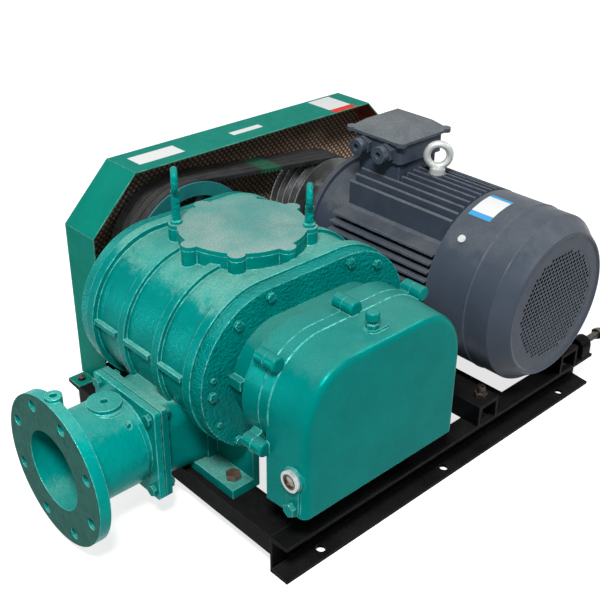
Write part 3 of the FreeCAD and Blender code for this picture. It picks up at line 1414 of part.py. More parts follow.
def guard_outline(inset):
    slope = math.atan2(guard_top_z - guard_shoulder_z, guard_top_left - guard_left)
    shift = inset * math.tan(slope / 2)
    slope_top = inset * math.tan((math.pi / 2 - slope) / 2)
    left, right = guard_left + inset, guard_right - inset
    return [
        (left, rail_height), (left, guard_shoulder_z - slope_top), (guard_top_left + shift, guard_top_z - inset),
        (guard_top_right - shift, guard_top_z - inset), (right, guard_shoulder_z - slope_top), (right, rail_height),
    ]


def guard_space(inset, y0, y1):
    return prism_y(guard_outline(inset), y0, y1)


def guard_foot_bolts():
    left = (guard_left - guard_foot / 2, rail_back_y + rail_flange / 2)
    right = (guard_right - guard_right_foot / 2, (guard_front_y + rail_back_y) / 2)
    return left, right


def belt_guard():
    band = guard_space(0, guard_front_y, guard_back_y)
    space = guard_space(guard_sheet, guard_front_y - 1, guard_back_y + 1)
    top = rail_height + guard_sheet
    y0, y1 = rail_back_y, rail_back_y + rail_flange
    left = box(guard_left - guard_foot, y0, rail_height, guard_left + guard_sheet, y1, top)
    right = box(guard_right - guard_right_foot, guard_front_y, rail_height, guard_right, rail_back_y - 2, top)
    # The right wall is notched where the adjusting screw and its bracket pass
    room = bracket_width / 2 + guard_notch_gap
    notch = box(guard_right - 20, bracket_y - room, 0, guard_right + 20, guard_back_y + 1, adjuster_z + room)
    whole = join([band.cut([space, notch]), left, right])
    holes = [rod((x, y, 0), (0, 0, 1), guard_bolt_d / 2, 2 * rail_height) for x, y in guard_foot_bolts()]
    keep("belt_guard", cut(whole, holes))
    keep("guard_mesh", mesh_sheet(guard_back_y - mesh_inset - mesh_thick, guard_back_y - mesh_inset))
    bolts = []
    for x, y in guard_foot_bolts():
        bolts.append(hex_bolt((x, y, top), (0, 0, 1), guard_bolt_d, guard_bolt_shank))
    keep("guard_bolts", bolts)


for build in (
    base_frame, casing, inlet_cover, lifting_eyes, blower_inner, timing_gears, gear_case, gear_cover, case_fittings,
    drive_end, driven_pulley, motor_pulley, v_belts, outlet_piece, valve_flap, duct_joint, foot_bolts,
    motor_frame, endshields, fan_cowl, motor_inner, terminal_box, motor_eye, motor_slide, belt_guard,
):
    build()

os.makedirs("parts", exist_ok=True)
for name, shape in parts.items():
    shape.exportStep("parts/" + name + ".step")
print(len(parts), "nodes")
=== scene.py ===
import bmesh
import bpy
import math
from mathutils import Matrix, Vector


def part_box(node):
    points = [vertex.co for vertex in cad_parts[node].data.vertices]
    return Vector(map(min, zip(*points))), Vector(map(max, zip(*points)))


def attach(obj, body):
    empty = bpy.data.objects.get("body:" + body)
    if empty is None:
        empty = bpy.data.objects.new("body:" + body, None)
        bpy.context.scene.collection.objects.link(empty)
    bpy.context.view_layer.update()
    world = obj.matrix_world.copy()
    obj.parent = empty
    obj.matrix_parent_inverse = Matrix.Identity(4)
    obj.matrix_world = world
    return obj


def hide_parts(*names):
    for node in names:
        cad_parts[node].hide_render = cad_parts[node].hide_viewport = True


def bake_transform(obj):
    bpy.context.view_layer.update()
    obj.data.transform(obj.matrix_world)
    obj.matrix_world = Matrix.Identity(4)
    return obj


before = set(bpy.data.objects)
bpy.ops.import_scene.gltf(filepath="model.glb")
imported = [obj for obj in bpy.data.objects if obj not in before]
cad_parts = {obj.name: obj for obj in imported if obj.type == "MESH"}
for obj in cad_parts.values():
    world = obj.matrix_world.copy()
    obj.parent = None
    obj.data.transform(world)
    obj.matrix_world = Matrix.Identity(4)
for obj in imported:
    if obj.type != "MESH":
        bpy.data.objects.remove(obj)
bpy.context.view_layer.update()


# Channel base: two rolled channels with four channel cross-members welded between them.
# It is brushed and sprayed with satin black enamel, and pale workshop dust lies on the flanges.
def tone(code):
    """A colour written like 007d77, as a shader wants it."""
    parts = [int(code[i:i + 2], 16) / 255 for i in (0, 2, 4)]
    return [c / 12.92 if c <= 0.04045 else ((c + 0.055) / 1.055) ** 2.4 for c in parts] + [1.0]


def feed(tree, node, values):
    """Fills a node's sockets, each with a plain value or from the socket that drives it."""
    for key, value in values.items():
        if isinstance(value, bpy.types.NodeSocket):
            tree.links.new(value, node.inputs[key])
        else:
            node.inputs[key].default_value = value


def put(tree, kind, feeds=None, **settings):
    """One shader node, with its settings made before its sockets are filled."""
    node = tree.nodes.new("ShaderNode" + kind)
    for key, value in settings.items():
        setattr(node, key, value)
    feed(tree, node, feeds or {})
    return node


def number_effect(name, takes, gives):
    """A shader group that takes numbers and gives one; returns its tree, inputs and outputs."""
    tree = bpy.data.node_groups.new(name, "ShaderNodeTree")
    sockets, number = tree.interface, "NodeSocketFloat"
    for label, start in takes.items():
        taken = sockets.new_socket(name=label, in_out="INPUT", socket_type=number)
        taken.default_value = start
    sockets.new_socket(name=gives, in_out="OUTPUT", socket_type=number)
    return tree, tree.nodes.new("NodeGroupInput").outputs, tree.nodes.new("NodeGroupOutput").inputs


def use(tree, group, **values):
    """Places a group; Patch_scale=9.0 fills its socket named Patch scale."""
    node = tree.nodes.new("ShaderNodeGroup")
    node.node_tree = group
    feed(tree, node, {label.replace("_", " "): value for label, value in values.items()})
    return node.outputs


def ramp(tree, value, low, high, to_low=0.0, to_high=1.0):
    """Goes smoothly from to_low, where the value is low, to to_high, where it is high."""
    spans = {"Value": value, "From Min": low, "From Max": high, "To Min": to_low, "To Max": to_high}
    return put(tree, "MapRange", spans, interpolation_type="SMOOTHSTEP").outputs["Result"]


def numbers(tree, operation, *given):
    return put(tree, "Math", dict(enumerate(given)), operation=operation).outputs[0]


def times(tree, first, *others):
    """The product of all the numbers."""
    for other in others:
        first = numbers(tree, "MULTIPLY", first, other)
    return first


def vectors(tree, operation, *given, gives="Vector"):
    return put(tree, "VectorMath", dict(enumerate(given)), operation=operation).outputs[gives]


def here(tree):
    """Where the point lies, in metres from the origin on the floor."""
    return put(tree, "TexCoord").outputs["Object"]


def axis(tree, vector, letter):
    return put(tree, "SeparateXYZ", {0: vector}).outputs[letter]


def facing(tree, kind="True Normal"):
    """The way the surface faces: its flat face's, or with Normal its smooth shape's."""
    return put(tree, "NewGeometry").outputs[kind]


def noise(tree, scale, detail=3.0, roughness=0.5, stretch=None):
    """Soft random clouds from 0 to 1; a large stretch along an axis makes them short there."""
    place = vectors(tree, "MULTIPLY", here(tree), stretch) if stretch else here(tree)
    grains = {"Vector": place, "Scale": scale, "Detail": detail, "Roughness": roughness}
    return put(tree, "TexNoise", grains).outputs["Fac"]


def rounded(tree, radius):
    """The way the surface faces once its corners are rounded off."""
    return put(tree, "Bevel", {"Radius": radius}, samples=4).outputs[0]


def between(tree, share, a, b):
    """A number on the way from a to b."""
    return put(tree, "Mix", {"Factor": share, "A": a, "B": b}, data_type="FLOAT").outputs["Result"]


# the numbers of the colour sockets on a Mix node
first_colour, second_colour, mixed_colour = 6, 7, 2


def blend_colour(tree, mask, under, over):
    feeds = {"Factor": mask, first_colour: under, second_colour: over}
    return put(tree, "Mix", feeds, data_type="RGBA").outputs[mixed_colour]


ragged_scale, ragged_share, speck_scale = 42.0, 0.55, 260.0


def dust_effect():
    """Pale dust on what faces up, thinner in patches and broken into specks."""
    takes = {"Amount": 0.6, "Patch scale": 9.0, "Start": 0.5}
    tree, taken, gives = number_effect("settled dust", takes, "Mask")
    upward = axis(tree, facing(tree, "Normal"), "Z")
    rags = times(tree, noise(tree, ragged_scale, 8.0, 0.75), ragged_share)
    ragged = numbers(tree, "ADD", upward, rags)
    thin, thick = (numbers(tree, "ADD", taken["Start"], more) for more in (0.22, 0.4))
    lying = ramp(tree, ragged, thin, thick)
    patch = ramp(tree, noise(tree, taken["Patch scale"], 6.0, 0.62), 0.3, 0.7, 0.35, 1.0)
    speck = ramp(tree, noise(tree, speck_scale), 0.35, 0.7, 0.6, 1.0)
    tree.links.new(times(tree, lying, patch, speck, taken["Amount"]), gives["Mask"])
    return tree


def edge_effect():
    """Where a corner is sharp, the paint is thin and takes a lighter colour: worn paint, and a
    painted highlight along the edge.
    """
    tree, taken, gives = number_effect("rubbed and highlit edges", {"Width": 0.0015, "Amount": 0.5}, "Mask")
    smooth = rounded(tree, taken["Width"])
    same = vectors(tree, "DOT_PRODUCT", smooth, facing(tree), gives="Value")
    corner = ramp(tree, same, 0.99, 0.86)
    broken = ramp(tree, noise(tree, 70.0, 4.0), 0.35, 0.6, 0.25, 1.0)
    tree.links.new(times(tree, corner, broken, taken["Amount"]), gives["Mask"])
    return tree


def grain_effect():
    """Sand-cast skin under paint: fine grain with a coarser lumpiness, as a height from 0 to 1."""
    takes = {"Grain scale": 420.0, "Lump scale": 90.0, "Lump share": 0.5}
    tree, taken, gives = number_effect("cast skin", takes, "Height")
    fine = noise(tree, taken["Grain scale"], 2.0)
    lumps = noise(tree, taken["Lump scale"])
    tree.links.new(between(tree, taken["Lump share"], fine, lumps), gives["Height"])
    return tree


settled_dust = dust_effect()
rubbed_and_highlit_edges = edge_effect()
cast_skin = grain_effect()


def fresh(name):
    """A new material, with its tree and its shader."""
    made = bpy.data.materials.new(name)
    made.use_nodes = True
    return made, made.node_tree, made.node_tree.nodes["Principled BSDF"]


coat_clouds, gloss_clouds, gloss_spread, dust_roughness = 14.0, 55.0, 0.12, 0.8


def painted(name, coat, deep, edge, dusty, gloss, dust=0.6, patch=9.0, start=0.5, wear=0.4,
            rub=0.0018, bump=0.3, depth=0.002, lumps=0.5, grain=420.0, lump_scale=90.0,
            soft=0.0012, shine=0.3, glint="ffffff", sheen_share=0.0):
    """Enamel over cast or rolled metal in four colours: thin coat, deep coat, edges with a painted
    highlight, and dust.

    gloss is the lowest roughness. dust, patch and start say how much dust lies, in what patches,
    and from what slope on. wear and rub are the share and width of the thin edges. bump, depth,
    lumps, grain and lump_scale shape the skin, and soft is the radius at its corners. shine and
    glint are the strength and colour of its gloss, and sheen_share is the metallic share.
    """
    made, tree, shader = fresh(name)
    cloud = ramp(tree, noise(tree, coat_clouds, 5.0, 0.6), 0.3, 0.72)
    colour = blend_colour(tree, cloud, tone(coat), tone(deep))
    thin = use(tree, rubbed_and_highlit_edges, Width=rub, Amount=wear)["Mask"]
    # the edge colour: thin worn paint, made lighter as a painted highlight along the edge
    colour = blend_colour(tree, thin, colour, tone(edge))
    lying = use(tree, settled_dust, Amount=dust, Patch_scale=patch, Start=start)["Mask"]
    uneven = ramp(tree, noise(tree, gloss_clouds, 4.0), 0.3, 0.7, gloss, gloss + gloss_spread)
    cast = use(tree, cast_skin, Grain_scale=grain, Lump_scale=lump_scale, Lump_share=lumps)
    relief = put(tree, "Bump", {"Height": cast["Height"], "Strength": bump, "Distance": depth,
                                "Normal": rounded(tree, soft)})
    feed(tree, shader, {
        "Base Color": blend_colour(tree, lying, colour, tone(dusty)),
        "Roughness": between(tree, lying, uneven, dust_roughness),
        "Metallic": sheen_share,
        "Specular IOR Level": shine,
        "Specular Tint": tone(glint),
        "Normal": relief.outputs[0],
    })
    return made


def finish_nodes(material, *names):
    """Gives a material to CAD nodes."""
    for name in names:
        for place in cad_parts[name].material_slots:
            place.material = material


black_enamel = painted("black enamel", "090a0c", "050607", "4a4846", "5c5a56", 0.34,
                       dust=0.12, start=0.6, wear=0.45, rub=0.0022, bump=0.12, shine=0.02)
finish_nodes(black_enamel, "front_rail", "rear_rail", "cross_members", "motor_beams",
             "adjusting_brackets")


# Clamp bolts, adjusting screws, foot bolts and guard bolts: blackened steel with worn corners,
# and the four blower foot bolts, which have lost their coating and are lightly rusted.
steel_clouds, rust_scale = 30.0, 120.0
worn_width, steel_corner, mark_deep = 0.0012, 0.0008, 0.0008
rust_colour, steel_dust = "6b4a38", "8f8b82"


def metal(name, base, dark, rough, metallic, bump=0.08, streak=300.0, stretch=None,
          wear="c8c6c2", worn=0.2, rust=0.0, dust=0.0):
    """Bare or plated metal in two clouded colours, with tool marks, worn corners and rust."""
    made, tree, shader = fresh(name)
    cloud = ramp(tree, noise(tree, steel_clouds, 5.0), 0.32, 0.7)
    colour = blend_colour(tree, cloud, tone(base), tone(dark))
    thin = use(tree, rubbed_and_highlit_edges, Width=worn_width, Amount=worn)["Mask"]
    colour = blend_colour(tree, thin, colour, tone(wear))
    marks = noise(tree, streak, 3.0, 0.6, stretch)
    if rust:
        spots = ramp(tree, noise(tree, rust_scale, 6.0, 0.65), 0.42, 0.62)
        spots = times(tree, spots, rust)
        colour = blend_colour(tree, spots, colour, tone(rust_colour))
        metallic = between(tree, spots, metallic, 0.0)
    if dust:
        lying = use(tree, settled_dust, Amount=dust)["Mask"]
        colour = blend_colour(tree, lying, colour, tone(steel_dust))
    relief = put(tree, "Bump", {"Height": marks, "Strength": bump, "Distance": mark_deep,
                                "Normal": rounded(tree, steel_corner)})
    feed(tree, shader, {
        "Base Color": colour,
        "Roughness": ramp(tree, marks, 0.25, 0.75, rough - 0.07, rough + 0.1),
        "Metallic": metallic,
        "Normal": relief.outputs[0],
    })
    return made


blackened = metal("blackened steel", "2b2a29", "1c1b1b", 0.42, 0.85, worn=0.35, rust=0.25,
                  dust=0.4)
finish_nodes(blackened, "clamp_bolts", "adjusting_screws", "motor_foot_bolts", "guard_bolts")
bare_bolt = metal("worn bolt steel", "8d7f78", "5f4f48", 0.4, 0.7, worn=0.5, rust=0.6)
finish_nodes(bare_bolt, "blower_foot_bolts")


# Blower casing with its ribs, feet and outlet duct: one sand-cast grey iron piece. It is machined
# on the joint faces only, then brushed all over with glossy teal enamel that pools round the
# bolt heads. The covers and end plates wear the same enamel, more or less dusty.
# the light cyan given to the teal's thin edges is a painted highlight over worn paint
teal_glint, teal_edge_highlight = "50fbf4", "78e4da"
teal = painted("teal enamel", "007d77", "00716c", teal_edge_highlight, "7ab3a4", 0.18,
               dust=0.8, patch=7.0, start=0.8, wear=0.85, rub=0.003, bump=0.7, lumps=0.6,
               grain=300.0, lump_scale=130.0, soft=0.0025, shine=0.03, glint=teal_glint,
               sheen_share=0.14)
finish_nodes(teal, "casing", "drive_end_cover", "flap_pin")
dusty_teal = painted("teal enamel under dust", "007f79", "007671", "4fc4bb", "94a29c", 0.3,
                     dust=0.95, patch=5.0, start=0.3, wear=0.5, rub=0.002, bump=0.35, lumps=0.45,
                     grain=300.0, shine=0.03, glint=teal_glint, sheen_share=0.06)
finish_nodes(dusty_teal, "inlet_cover")
wiped_teal = painted("teal enamel, wiped clean", "007973", "00706b", teal_edge_highlight, "7a9c8a", 0.2,
                     dust=0.25, patch=6.0, start=0.7, wear=0.75, rub=0.003, bump=0.12,
                     lumps=0.35, grain=260.0, soft=0.003, shine=0.03, glint=teal_glint,
                     sheen_share=0.14)
finish_nodes(wiped_teal, "gear_case", "gear_cover", "case_screws", "breather_plug", "drain_plug",
             "duct_bolts")
rough_teal = painted("teal enamel over rough iron", "00857f", "00716c", teal_edge_highlight, "7fb3a4", 0.15,
                     dust=0.12, start=0.66, wear=0.8, rub=0.003, bump=1.0, depth=0.006,
                     lumps=0.7, grain=260.0, lump_scale=150.0, soft=0.0025, shine=0.05,
                     glint=teal_glint, sheen_share=0.2)
finish_nodes(rough_teal, "gear_end_plate", "drive_end_plate", "end_plate_bolts", "lifting_eyes")
# The pulley's teal is darker than the casing's: painted shade for the pulley inside the guard, with
# belt dust over it.
shaded_teal = painted("teal enamel in painted shade, under belt dust", "1d6a6b", "17585a", "5aa9a4", "7f8f8c", 0.4,
                      dust=0.5, wear=0.6, shine=0.05)
finish_nodes(shaded_teal, "driven_pulley")


# Rotors, shafts, bearings, timing gears: turned and ground steel on cast iron, hidden inside the
# case. The motor's laminated core and shaft share the same turned finish, and its windings are
# varnished copper.
turned = metal("turned steel", "a9abad", "8f9194", 0.28, 1.0, bump=0.05, streak=160.0,
               stretch=(1.0, 12.0, 1.0))
finish_nodes(turned, "idler_shaft", "drive_shaft", "rotor_bearings", "idler_timing_gear",
             "drive_timing_gear", "idler_gear_nut", "drive_gear_nut", "oil_slinger",
             "motor_shaft", "motor_bearings")
bare_iron = metal("bare cast iron", "6a6b6c", "4c4d4f", 0.45, 0.8, bump=0.15, streak=220.0)
finish_nodes(bare_iron, "idler_rotor", "drive_rotor", "valve_flap")
laminated = metal("stacked core steel", "77797b", "5c5e60", 0.45, 0.9, bump=0.2, streak=40.0,
                  stretch=(1.0, 40.0, 1.0))
finish_nodes(laminated, "stator_core", "motor_rotor_core")
winding = metal("varnished copper", "8f4a25", "5e2a14", 0.35, 0.6, bump=0.35, streak=500.0,
                wear="b06a3c")
finish_nodes(winding, "stator_windings")


# Outlet piece with its non-return flap: a cast pipe stub, painted like the casing, in a lighter
# teal that is painted highlight.
# Its joint face was turned before painting, so there the enamel is thin, dark and matt.
joint_face_x = -0.690


def reopened(made):
    """A made material's tree and shader, and the socket that its colour comes from."""
    shader = made.node_tree.nodes["Principled BSDF"]
    return made.node_tree, shader, shader.inputs["Base Color"].links[0].from_socket


def lit_outlet_paint():
    """Glossy teal, lighter than the casing's as a painted highlight, but thin and matt on the
    turned face at the open end.
    """
    # the lighter coat and edge colours stand for the light on the pipe: painted highlight
    made = painted("teal enamel lightened as painted highlight, turned face", "00938c", "008680", "8ceee6", "7ab3a4", 0.14,
                   dust=0.4, patch=16.0, start=0.76, wear=0.85, rub=0.003, bump=0.8, lumps=0.6,
                   grain=300.0, lump_scale=130.0, soft=0.0025, shine=0.05, glint=teal_glint,
                   sheen_share=0.2)
    tree, shader, enamel = reopened(made)
    gloss = shader.inputs["Roughness"].links[0].from_socket
    outward = ramp(tree, axis(tree, facing(tree), "X"), -0.9, -0.98)
    at_the_end = ramp(tree, axis(tree, here(tree), "X"), joint_face_x + 0.004, joint_face_x)
    on_face = times(tree, outward, at_the_end)
    cloud = ramp(tree, noise(tree, 60.0, 4.0), 0.3, 0.7)
    thin_coat = blend_colour(tree, cloud, tone("27544c"), tone("1f463f"))
    feed(tree, shader, {"Base Color": blend_colour(tree, on_face, enamel, thin_coat),
                        "Roughness": between(tree, on_face, gloss, 0.55)})
    return made


finish_nodes(lit_outlet_paint(), "outlet_piece")
jointing = painted("jointing, painted over", "045f5a", "034a46", "2f8f86", "5a8f84", 0.45,
                   dust=0.2, wear=0.3, shine=0.05)
finish_nodes(jointing, "duct_gasket")


# Sight glass on the gear cover: a zinc-plated ring screwed in over a black seal and a round glass,
# half full of amber oil. The motor's lifting eye and the cowl's screws have the same plating.
zinc = metal("bright zinc", "c9ccca", "a9adab", 0.34, 0.35, bump=0.06, streak=260.0,
             wear="ecebe8", worn=0.4, dust=0.25)
finish_nodes(zinc, "motor_eye", "cowl_screws")
seal_r, oil_top = 0.0140, 0.225


def window_ring():
    """The plated ring, with the black seal that holds the glass showing round the window."""
    made = zinc.copy()
    made.name = "plated ring with seal"
    tree, shader, plating = reopened(made)
    ring_low, ring_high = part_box("sight_glass_ring")
    middle = (0.0, (ring_low.y + ring_high.y) / 2, (ring_low.z + ring_high.z) / 2)
    from_middle = vectors(tree, "SUBTRACT", here(tree), middle)
    across = vectors(tree, "MULTIPLY", from_middle, (0.0, 1.0, 1.0))
    reach = vectors(tree, "LENGTH", across, gives="Value")
    seal = ramp(tree, reach, seal_r + 0.0006, seal_r)
    feed(tree, shader, {"Base Color": blend_colour(tree, seal, plating, tone("15110f")),
                        "Metallic": ramp(tree, seal, 0.0, 1.0, 0.35, 0.0)})
    return made


finish_nodes(window_ring(), "sight_glass_ring")
oil_window, tree, shader = fresh("oil window")
full = ramp(tree, axis(tree, here(tree), "Z"), oil_top - 0.0005, oil_top + 0.0005)
feed(tree, shader, {"Base Color": blend_colour(tree, full, tone("6d4a1e"), tone("8f9089")),
                    "Roughness": 0.06, "Coat Weight": 1.0})
finish_nodes(oil_window, "sight_glass_lens")


# Motor: ribbed grey iron frame, endshields and terminal box under dark blue-grey enamel,
# with a fine pale dust on every surface that faces up. The glands and the fan are mouldings.
grey_blue = painted("motor enamel", "3e4653", "343c48", "8b95a0", "7b7d79", 0.34,
                    dust=0.45, patch=12.0, wear=0.5, rub=0.0022, bump=0.16, lumps=0.3,
                    grain=500.0, shine=0.1)
finish_nodes(grey_blue, "motor_frame", "drive_endshield", "fan_endshield", "terminal_box")
lid_grey = painted("motor enamel under dust", "434b56", "3b434e", "98a0a6", "757978", 0.4,
                   dust=0.95, patch=14.0, start=0.3, wear=0.6, rub=0.0022, bump=0.2, lumps=0.4,
                   grain=400.0, shine=0.1)
finish_nodes(lid_grey, "terminal_lid")
gland = painted("moulded gland", "3b4350", "313844", "7d8794", "7b7d79", 0.22,
                dust=0.3, wear=0.6, bump=0.05, shine=0.5)
finish_nodes(gland, "cable_glands")
fan_red = painted("moulded fan", "5a2a24", "43201b", "6f3d33", "5a4a44", 0.5,
                  dust=0.1, wear=0.1, bump=0.05, shine=0.1)
finish_nodes(fan_red, "motor_fan")


# Fan cowl: spun and pressed sheet steel, held over the fan by four screws. A raised bead runs
# round the skirt, the shoulder turns in, and the flat end is pierced with a round field of
# staggered holes behind a rolled lip.
def skin(name, points, faces, body, material, slot=None, smooth=False):
    """A piece from its points and faces."""
    mesh = bpy.data.meshes.new(name)
    mesh.from_pydata([Vector(p) for p in points], [], faces)
    mesh.validate()
    shape = bmesh.new()
    shape.from_mesh(mesh)
    bmesh.ops.recalc_face_normals(shape, faces=shape.faces)
    shape.to_mesh(mesh)
    shape.free()
    for face in mesh.polygons:
        face.use_smooth = smooth
    mesh.materials.append(material)
    made = bpy.data.objects.new(name, mesh)
    bpy.context.scene.collection.objects.link(made)
    if body:
        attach(made, body)
    return made


def hoop(a, b, size):
    """The faces that join a ring of points, from number a on, to the next, from number b on."""
    return [(a + s, a + n, b + n, b + s) for s, n in ((s, (s + 1) % size) for s in range(size))]


motor_x, motor_z = 0.213, 0.307
cowl_low, cowl_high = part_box("fan_cowl")
open_y, end_y = cowl_high.y, cowl_low.y
skirt_r, face_r = 0.176, 0.1455
bead_y, shoulder_y = -0.284, end_y + 0.035
lip_y = end_y + 0.003
cowl_profile = [
    # the open end and the skirt
    (skirt_r - 0.003, open_y), (skirt_r - 0.001, open_y), (skirt_r - 0.001, open_y - 0.001),
    # the raised bead
    (skirt_r - 0.001, bead_y + 0.0046), (skirt_r - 0.001, bead_y + 0.0036),
    (skirt_r - 0.0003, bead_y + 0.0022), (skirt_r, bead_y + 0.0008),
    (skirt_r - 0.0006, bead_y - 0.0008), (skirt_r - 0.0022, bead_y - 0.0020),
    (skirt_r - 0.0025, bead_y - 0.0030), (skirt_r - 0.0025, bead_y - 0.0042),
    # the shoulder, turned in
    (skirt_r - 0.0025, shoulder_y + 0.0022), (skirt_r - 0.0026, shoulder_y + 0.001),
    (skirt_r - 0.0034, shoulder_y - 0.0010), (skirt_r - 0.0054, shoulder_y - 0.0028),
    (skirt_r - 0.0062, shoulder_y - 0.0038), (skirt_r - 0.0115, shoulder_y - 0.0105),
    (skirt_r - 0.0175, shoulder_y - 0.0185), (skirt_r - 0.0222, shoulder_y - 0.0252),
    # the rolled lip and the flat that carries the pierced plate
    (skirt_r - 0.0250, end_y + 0.0060), (face_r + 0.0040, end_y + 0.0036),
    (face_r + 0.0026, end_y + 0.0016), (face_r + 0.0010, end_y + 0.0004),
    (face_r - 0.0012, end_y), (face_r - 0.0034, end_y + 0.0006),
    (face_r - 0.0052, end_y + 0.0020), (face_r - 0.0062, lip_y), (face_r - 0.0076, lip_y),
    (face_r - 0.030, lip_y),
]


def spun(profile, rounds=120):
    """Points and faces of sheet spun round the motor's axis."""
    points, faces = [], []
    for r, y in profile:
        for k in range(rounds):
            turn = 2 * math.pi * k / rounds
            points.append((motor_x + r * math.cos(turn), y, motor_z + r * math.sin(turn)))
    for row in range(len(profile) - 1):
        faces += hoop(row * rounds, (row + 1) * rounds, rounds)
    return points, faces


sheet_enamel = painted("motor enamel on sheet", "3f4753", "39414d", "8b95a0", "6a6d6c", 0.3,
                       dust=0.4, patch=20.0, start=0.62, wear=0.3, rub=0.0015, bump=0.04,
                       lumps=0.3, grain=500.0, shine=0.12)
cowl_shell = skin("cowl_shell", *spun(cowl_profile), "motor_carriage", sheet_enamel,
                  "motor_enamel", True)
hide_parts("fan_cowl")

hole_pitch, hole_r, field_r, plate_r = 0.0100, 0.0038, 0.110, 0.126
plate_y, plate_thick = end_y + 0.0034, 0.0008
row_pitch = hole_pitch * math.sqrt(0.75)
corners, sector = 12, 30


def cell(u, v):
    """Hexagon, hole's rim and its back edge round a place on the plate, sector by sector."""
    outer, rim, back_rim = [], [], []
    x, z = motor_x + u, motor_z + v
    for k in range(corners):
        turn = math.radians(sector * k + sector)
        reach = hole_pitch / 2 / (math.cos(math.radians(sector)) if k % 2 == 0 else 1.0)
        outer.append((x + reach * math.cos(turn), plate_y, z + reach * math.sin(turn)))
        rim.append((x + hole_r * math.cos(turn), plate_y, z + hole_r * math.sin(turn)))
        back_rim.append((rim[-1][0], plate_y + plate_thick, rim[-1][2]))
    return outer, rim, back_rim


def grille():
    """Points and faces of the pierced plate: hexagons side by side, holed within field_r."""
    points, faces = [], []
    rows = int(plate_r / row_pitch) + 1
    for row in range(-rows, rows + 1):
        for step in range(-rows - 2, rows + 3):
            u, v = (step + 0.5 * (row % 2)) * hole_pitch, row * row_pitch
            if math.hypot(u, v) > plate_r:
                continue
            outer, rim, back_rim = cell(u, v)
            a = len(points)
            b, c = a + corners, a + 2 * corners
            points += outer
            if math.hypot(u, v) > field_r:
                faces.append(tuple(range(a, b)))
                continue
            points += rim + back_rim
            for flat, wall in zip(hoop(a, b, corners), hoop(b, c, corners)):
                faces += [flat, wall]
    return points, faces


skin("cowl_grille", *grille(), "motor_carriage", sheet_enamel, "motor_enamel")


# V-belts: four cogged belts side by side, black rubber over cord, each with moulded teeth on its
# inner face. They ride a little proud of both pulleys.
# Pale dust lies on the top run, with a smear of teal overspray.
driven, driver = Vector((-0.185, 0.318)), Vector((0.213, 0.307))
driven_r, driver_r = 0.1555, 0.1175
belt_count, first_belt_y, belt_spacing = 4, 0.2705, 0.019
belt_width, belt_deep, cog_pitch, cog_deep = 0.0166, 0.0125, 0.0105, 0.0035
belt_flank, inner_half = 0.0015, 0.30
belt_step = cog_pitch / 4
apart = driver - driven
slope = math.atan2(apart.y, apart.x)
lean = math.acos((driven_r - driver_r) / apart.length)


def round_pulley(centre, radius, start, around):
    """Places and outward directions along a belt's arc on a pulley."""
    count = int(around * radius / belt_step)
    turns = [start + around * k / count for k in range(count)]
    outs = [Vector((math.cos(turn), math.sin(turn))) for turn in turns]
    return [(centre + radius * out, out) for out in outs]


def straight_run(turn, left, left_r, met, met_r):
    """The same along the run from the pulley that is left to the one that is met."""
    out = Vector((math.cos(turn), math.sin(turn)))
    start, stop = left + left_r * out, met + met_r * out
    count = int((stop - start).length / belt_step)
    return [(start.lerp(stop, k / count), out) for k in range(count)]


def belts():
    """Points and faces of all belts, each a ring of sections, of which two in four are cogs."""
    upper, lower = slope + lean, slope - lean
    path = (round_pulley(driven, driven_r, upper, 2 * math.pi - 2 * lean)
            + straight_run(lower, driven, driven_r, driver, driver_r)
            + round_pulley(driver, driver_r, lower, 2 * lean)
            + straight_run(upper, driver, driver_r, driven, driven_r))
    path = path[:len(path) // 4 * 4]
    points, faces = [], []
    sides, total = 6, len(path)
    for belt in range(belt_count):
        middle = first_belt_y + belt_spacing * belt
        base = len(points)
        for k, (place, out) in enumerate(path):
            deep = belt_deep if k % 4 < 2 else belt_deep - cog_deep
            for half, sink in ((0.5, 0.0), (0.5, belt_flank), (inner_half, deep),
                               (-inner_half, deep), (-0.5, belt_flank), (-0.5, 0.0)):
                spot = place - sink * out
                points.append((spot.x, middle + half * belt_width, spot.y))
        for k in range(total):
            faces += hoop(base + sides * k, base + sides * ((k + 1) % total), sides)
    return points, faces


smear_start, smear_stop, top_run_z = 0.005, 0.07, 0.42
belt_rubber, tree, shader = fresh("belt rubber")
cloud = ramp(tree, noise(tree, 25.0, 5.0, 0.6, (1.0, 6.0, 1.0)), 0.3, 0.7)
rubber = blend_colour(tree, cloud, tone("1f2022"), tone("35363a"))
lying = use(tree, settled_dust, Amount=0.4, Patch_scale=16.0)["Mask"]
rubber = blend_colour(tree, lying, rubber, tone("66665f"))
along, height = axis(tree, here(tree), "X"), axis(tree, here(tree), "Z")
smear = times(tree, ramp(tree, along, smear_start, smear_start + 0.01),
              ramp(tree, along, smear_stop, smear_stop - 0.01),
              ramp(tree, height, top_run_z, top_run_z + 0.01),
              ramp(tree, noise(tree, 90.0, 4.0), 0.2, 0.6, 0.3, 0.8))
cord_marks = noise(tree, 700.0, 2.0, 0.5, (1.0, 0.3, 1.0))
relief = put(tree, "Bump", {"Height": cord_marks, "Strength": 0.3, "Distance": 0.0006})
feed(tree, shader, {"Base Color": blend_colour(tree, smear, rubber, tone("2a6a50")),
                    "Roughness": 0.55, "Specular IOR Level": 0.12, "Normal": relief.outputs[0]})

cogged_belts = skin("cogged_belts", *belts(), None, belt_rubber, "belt_rubber")
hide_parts("v_belts")
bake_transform(cogged_belts)


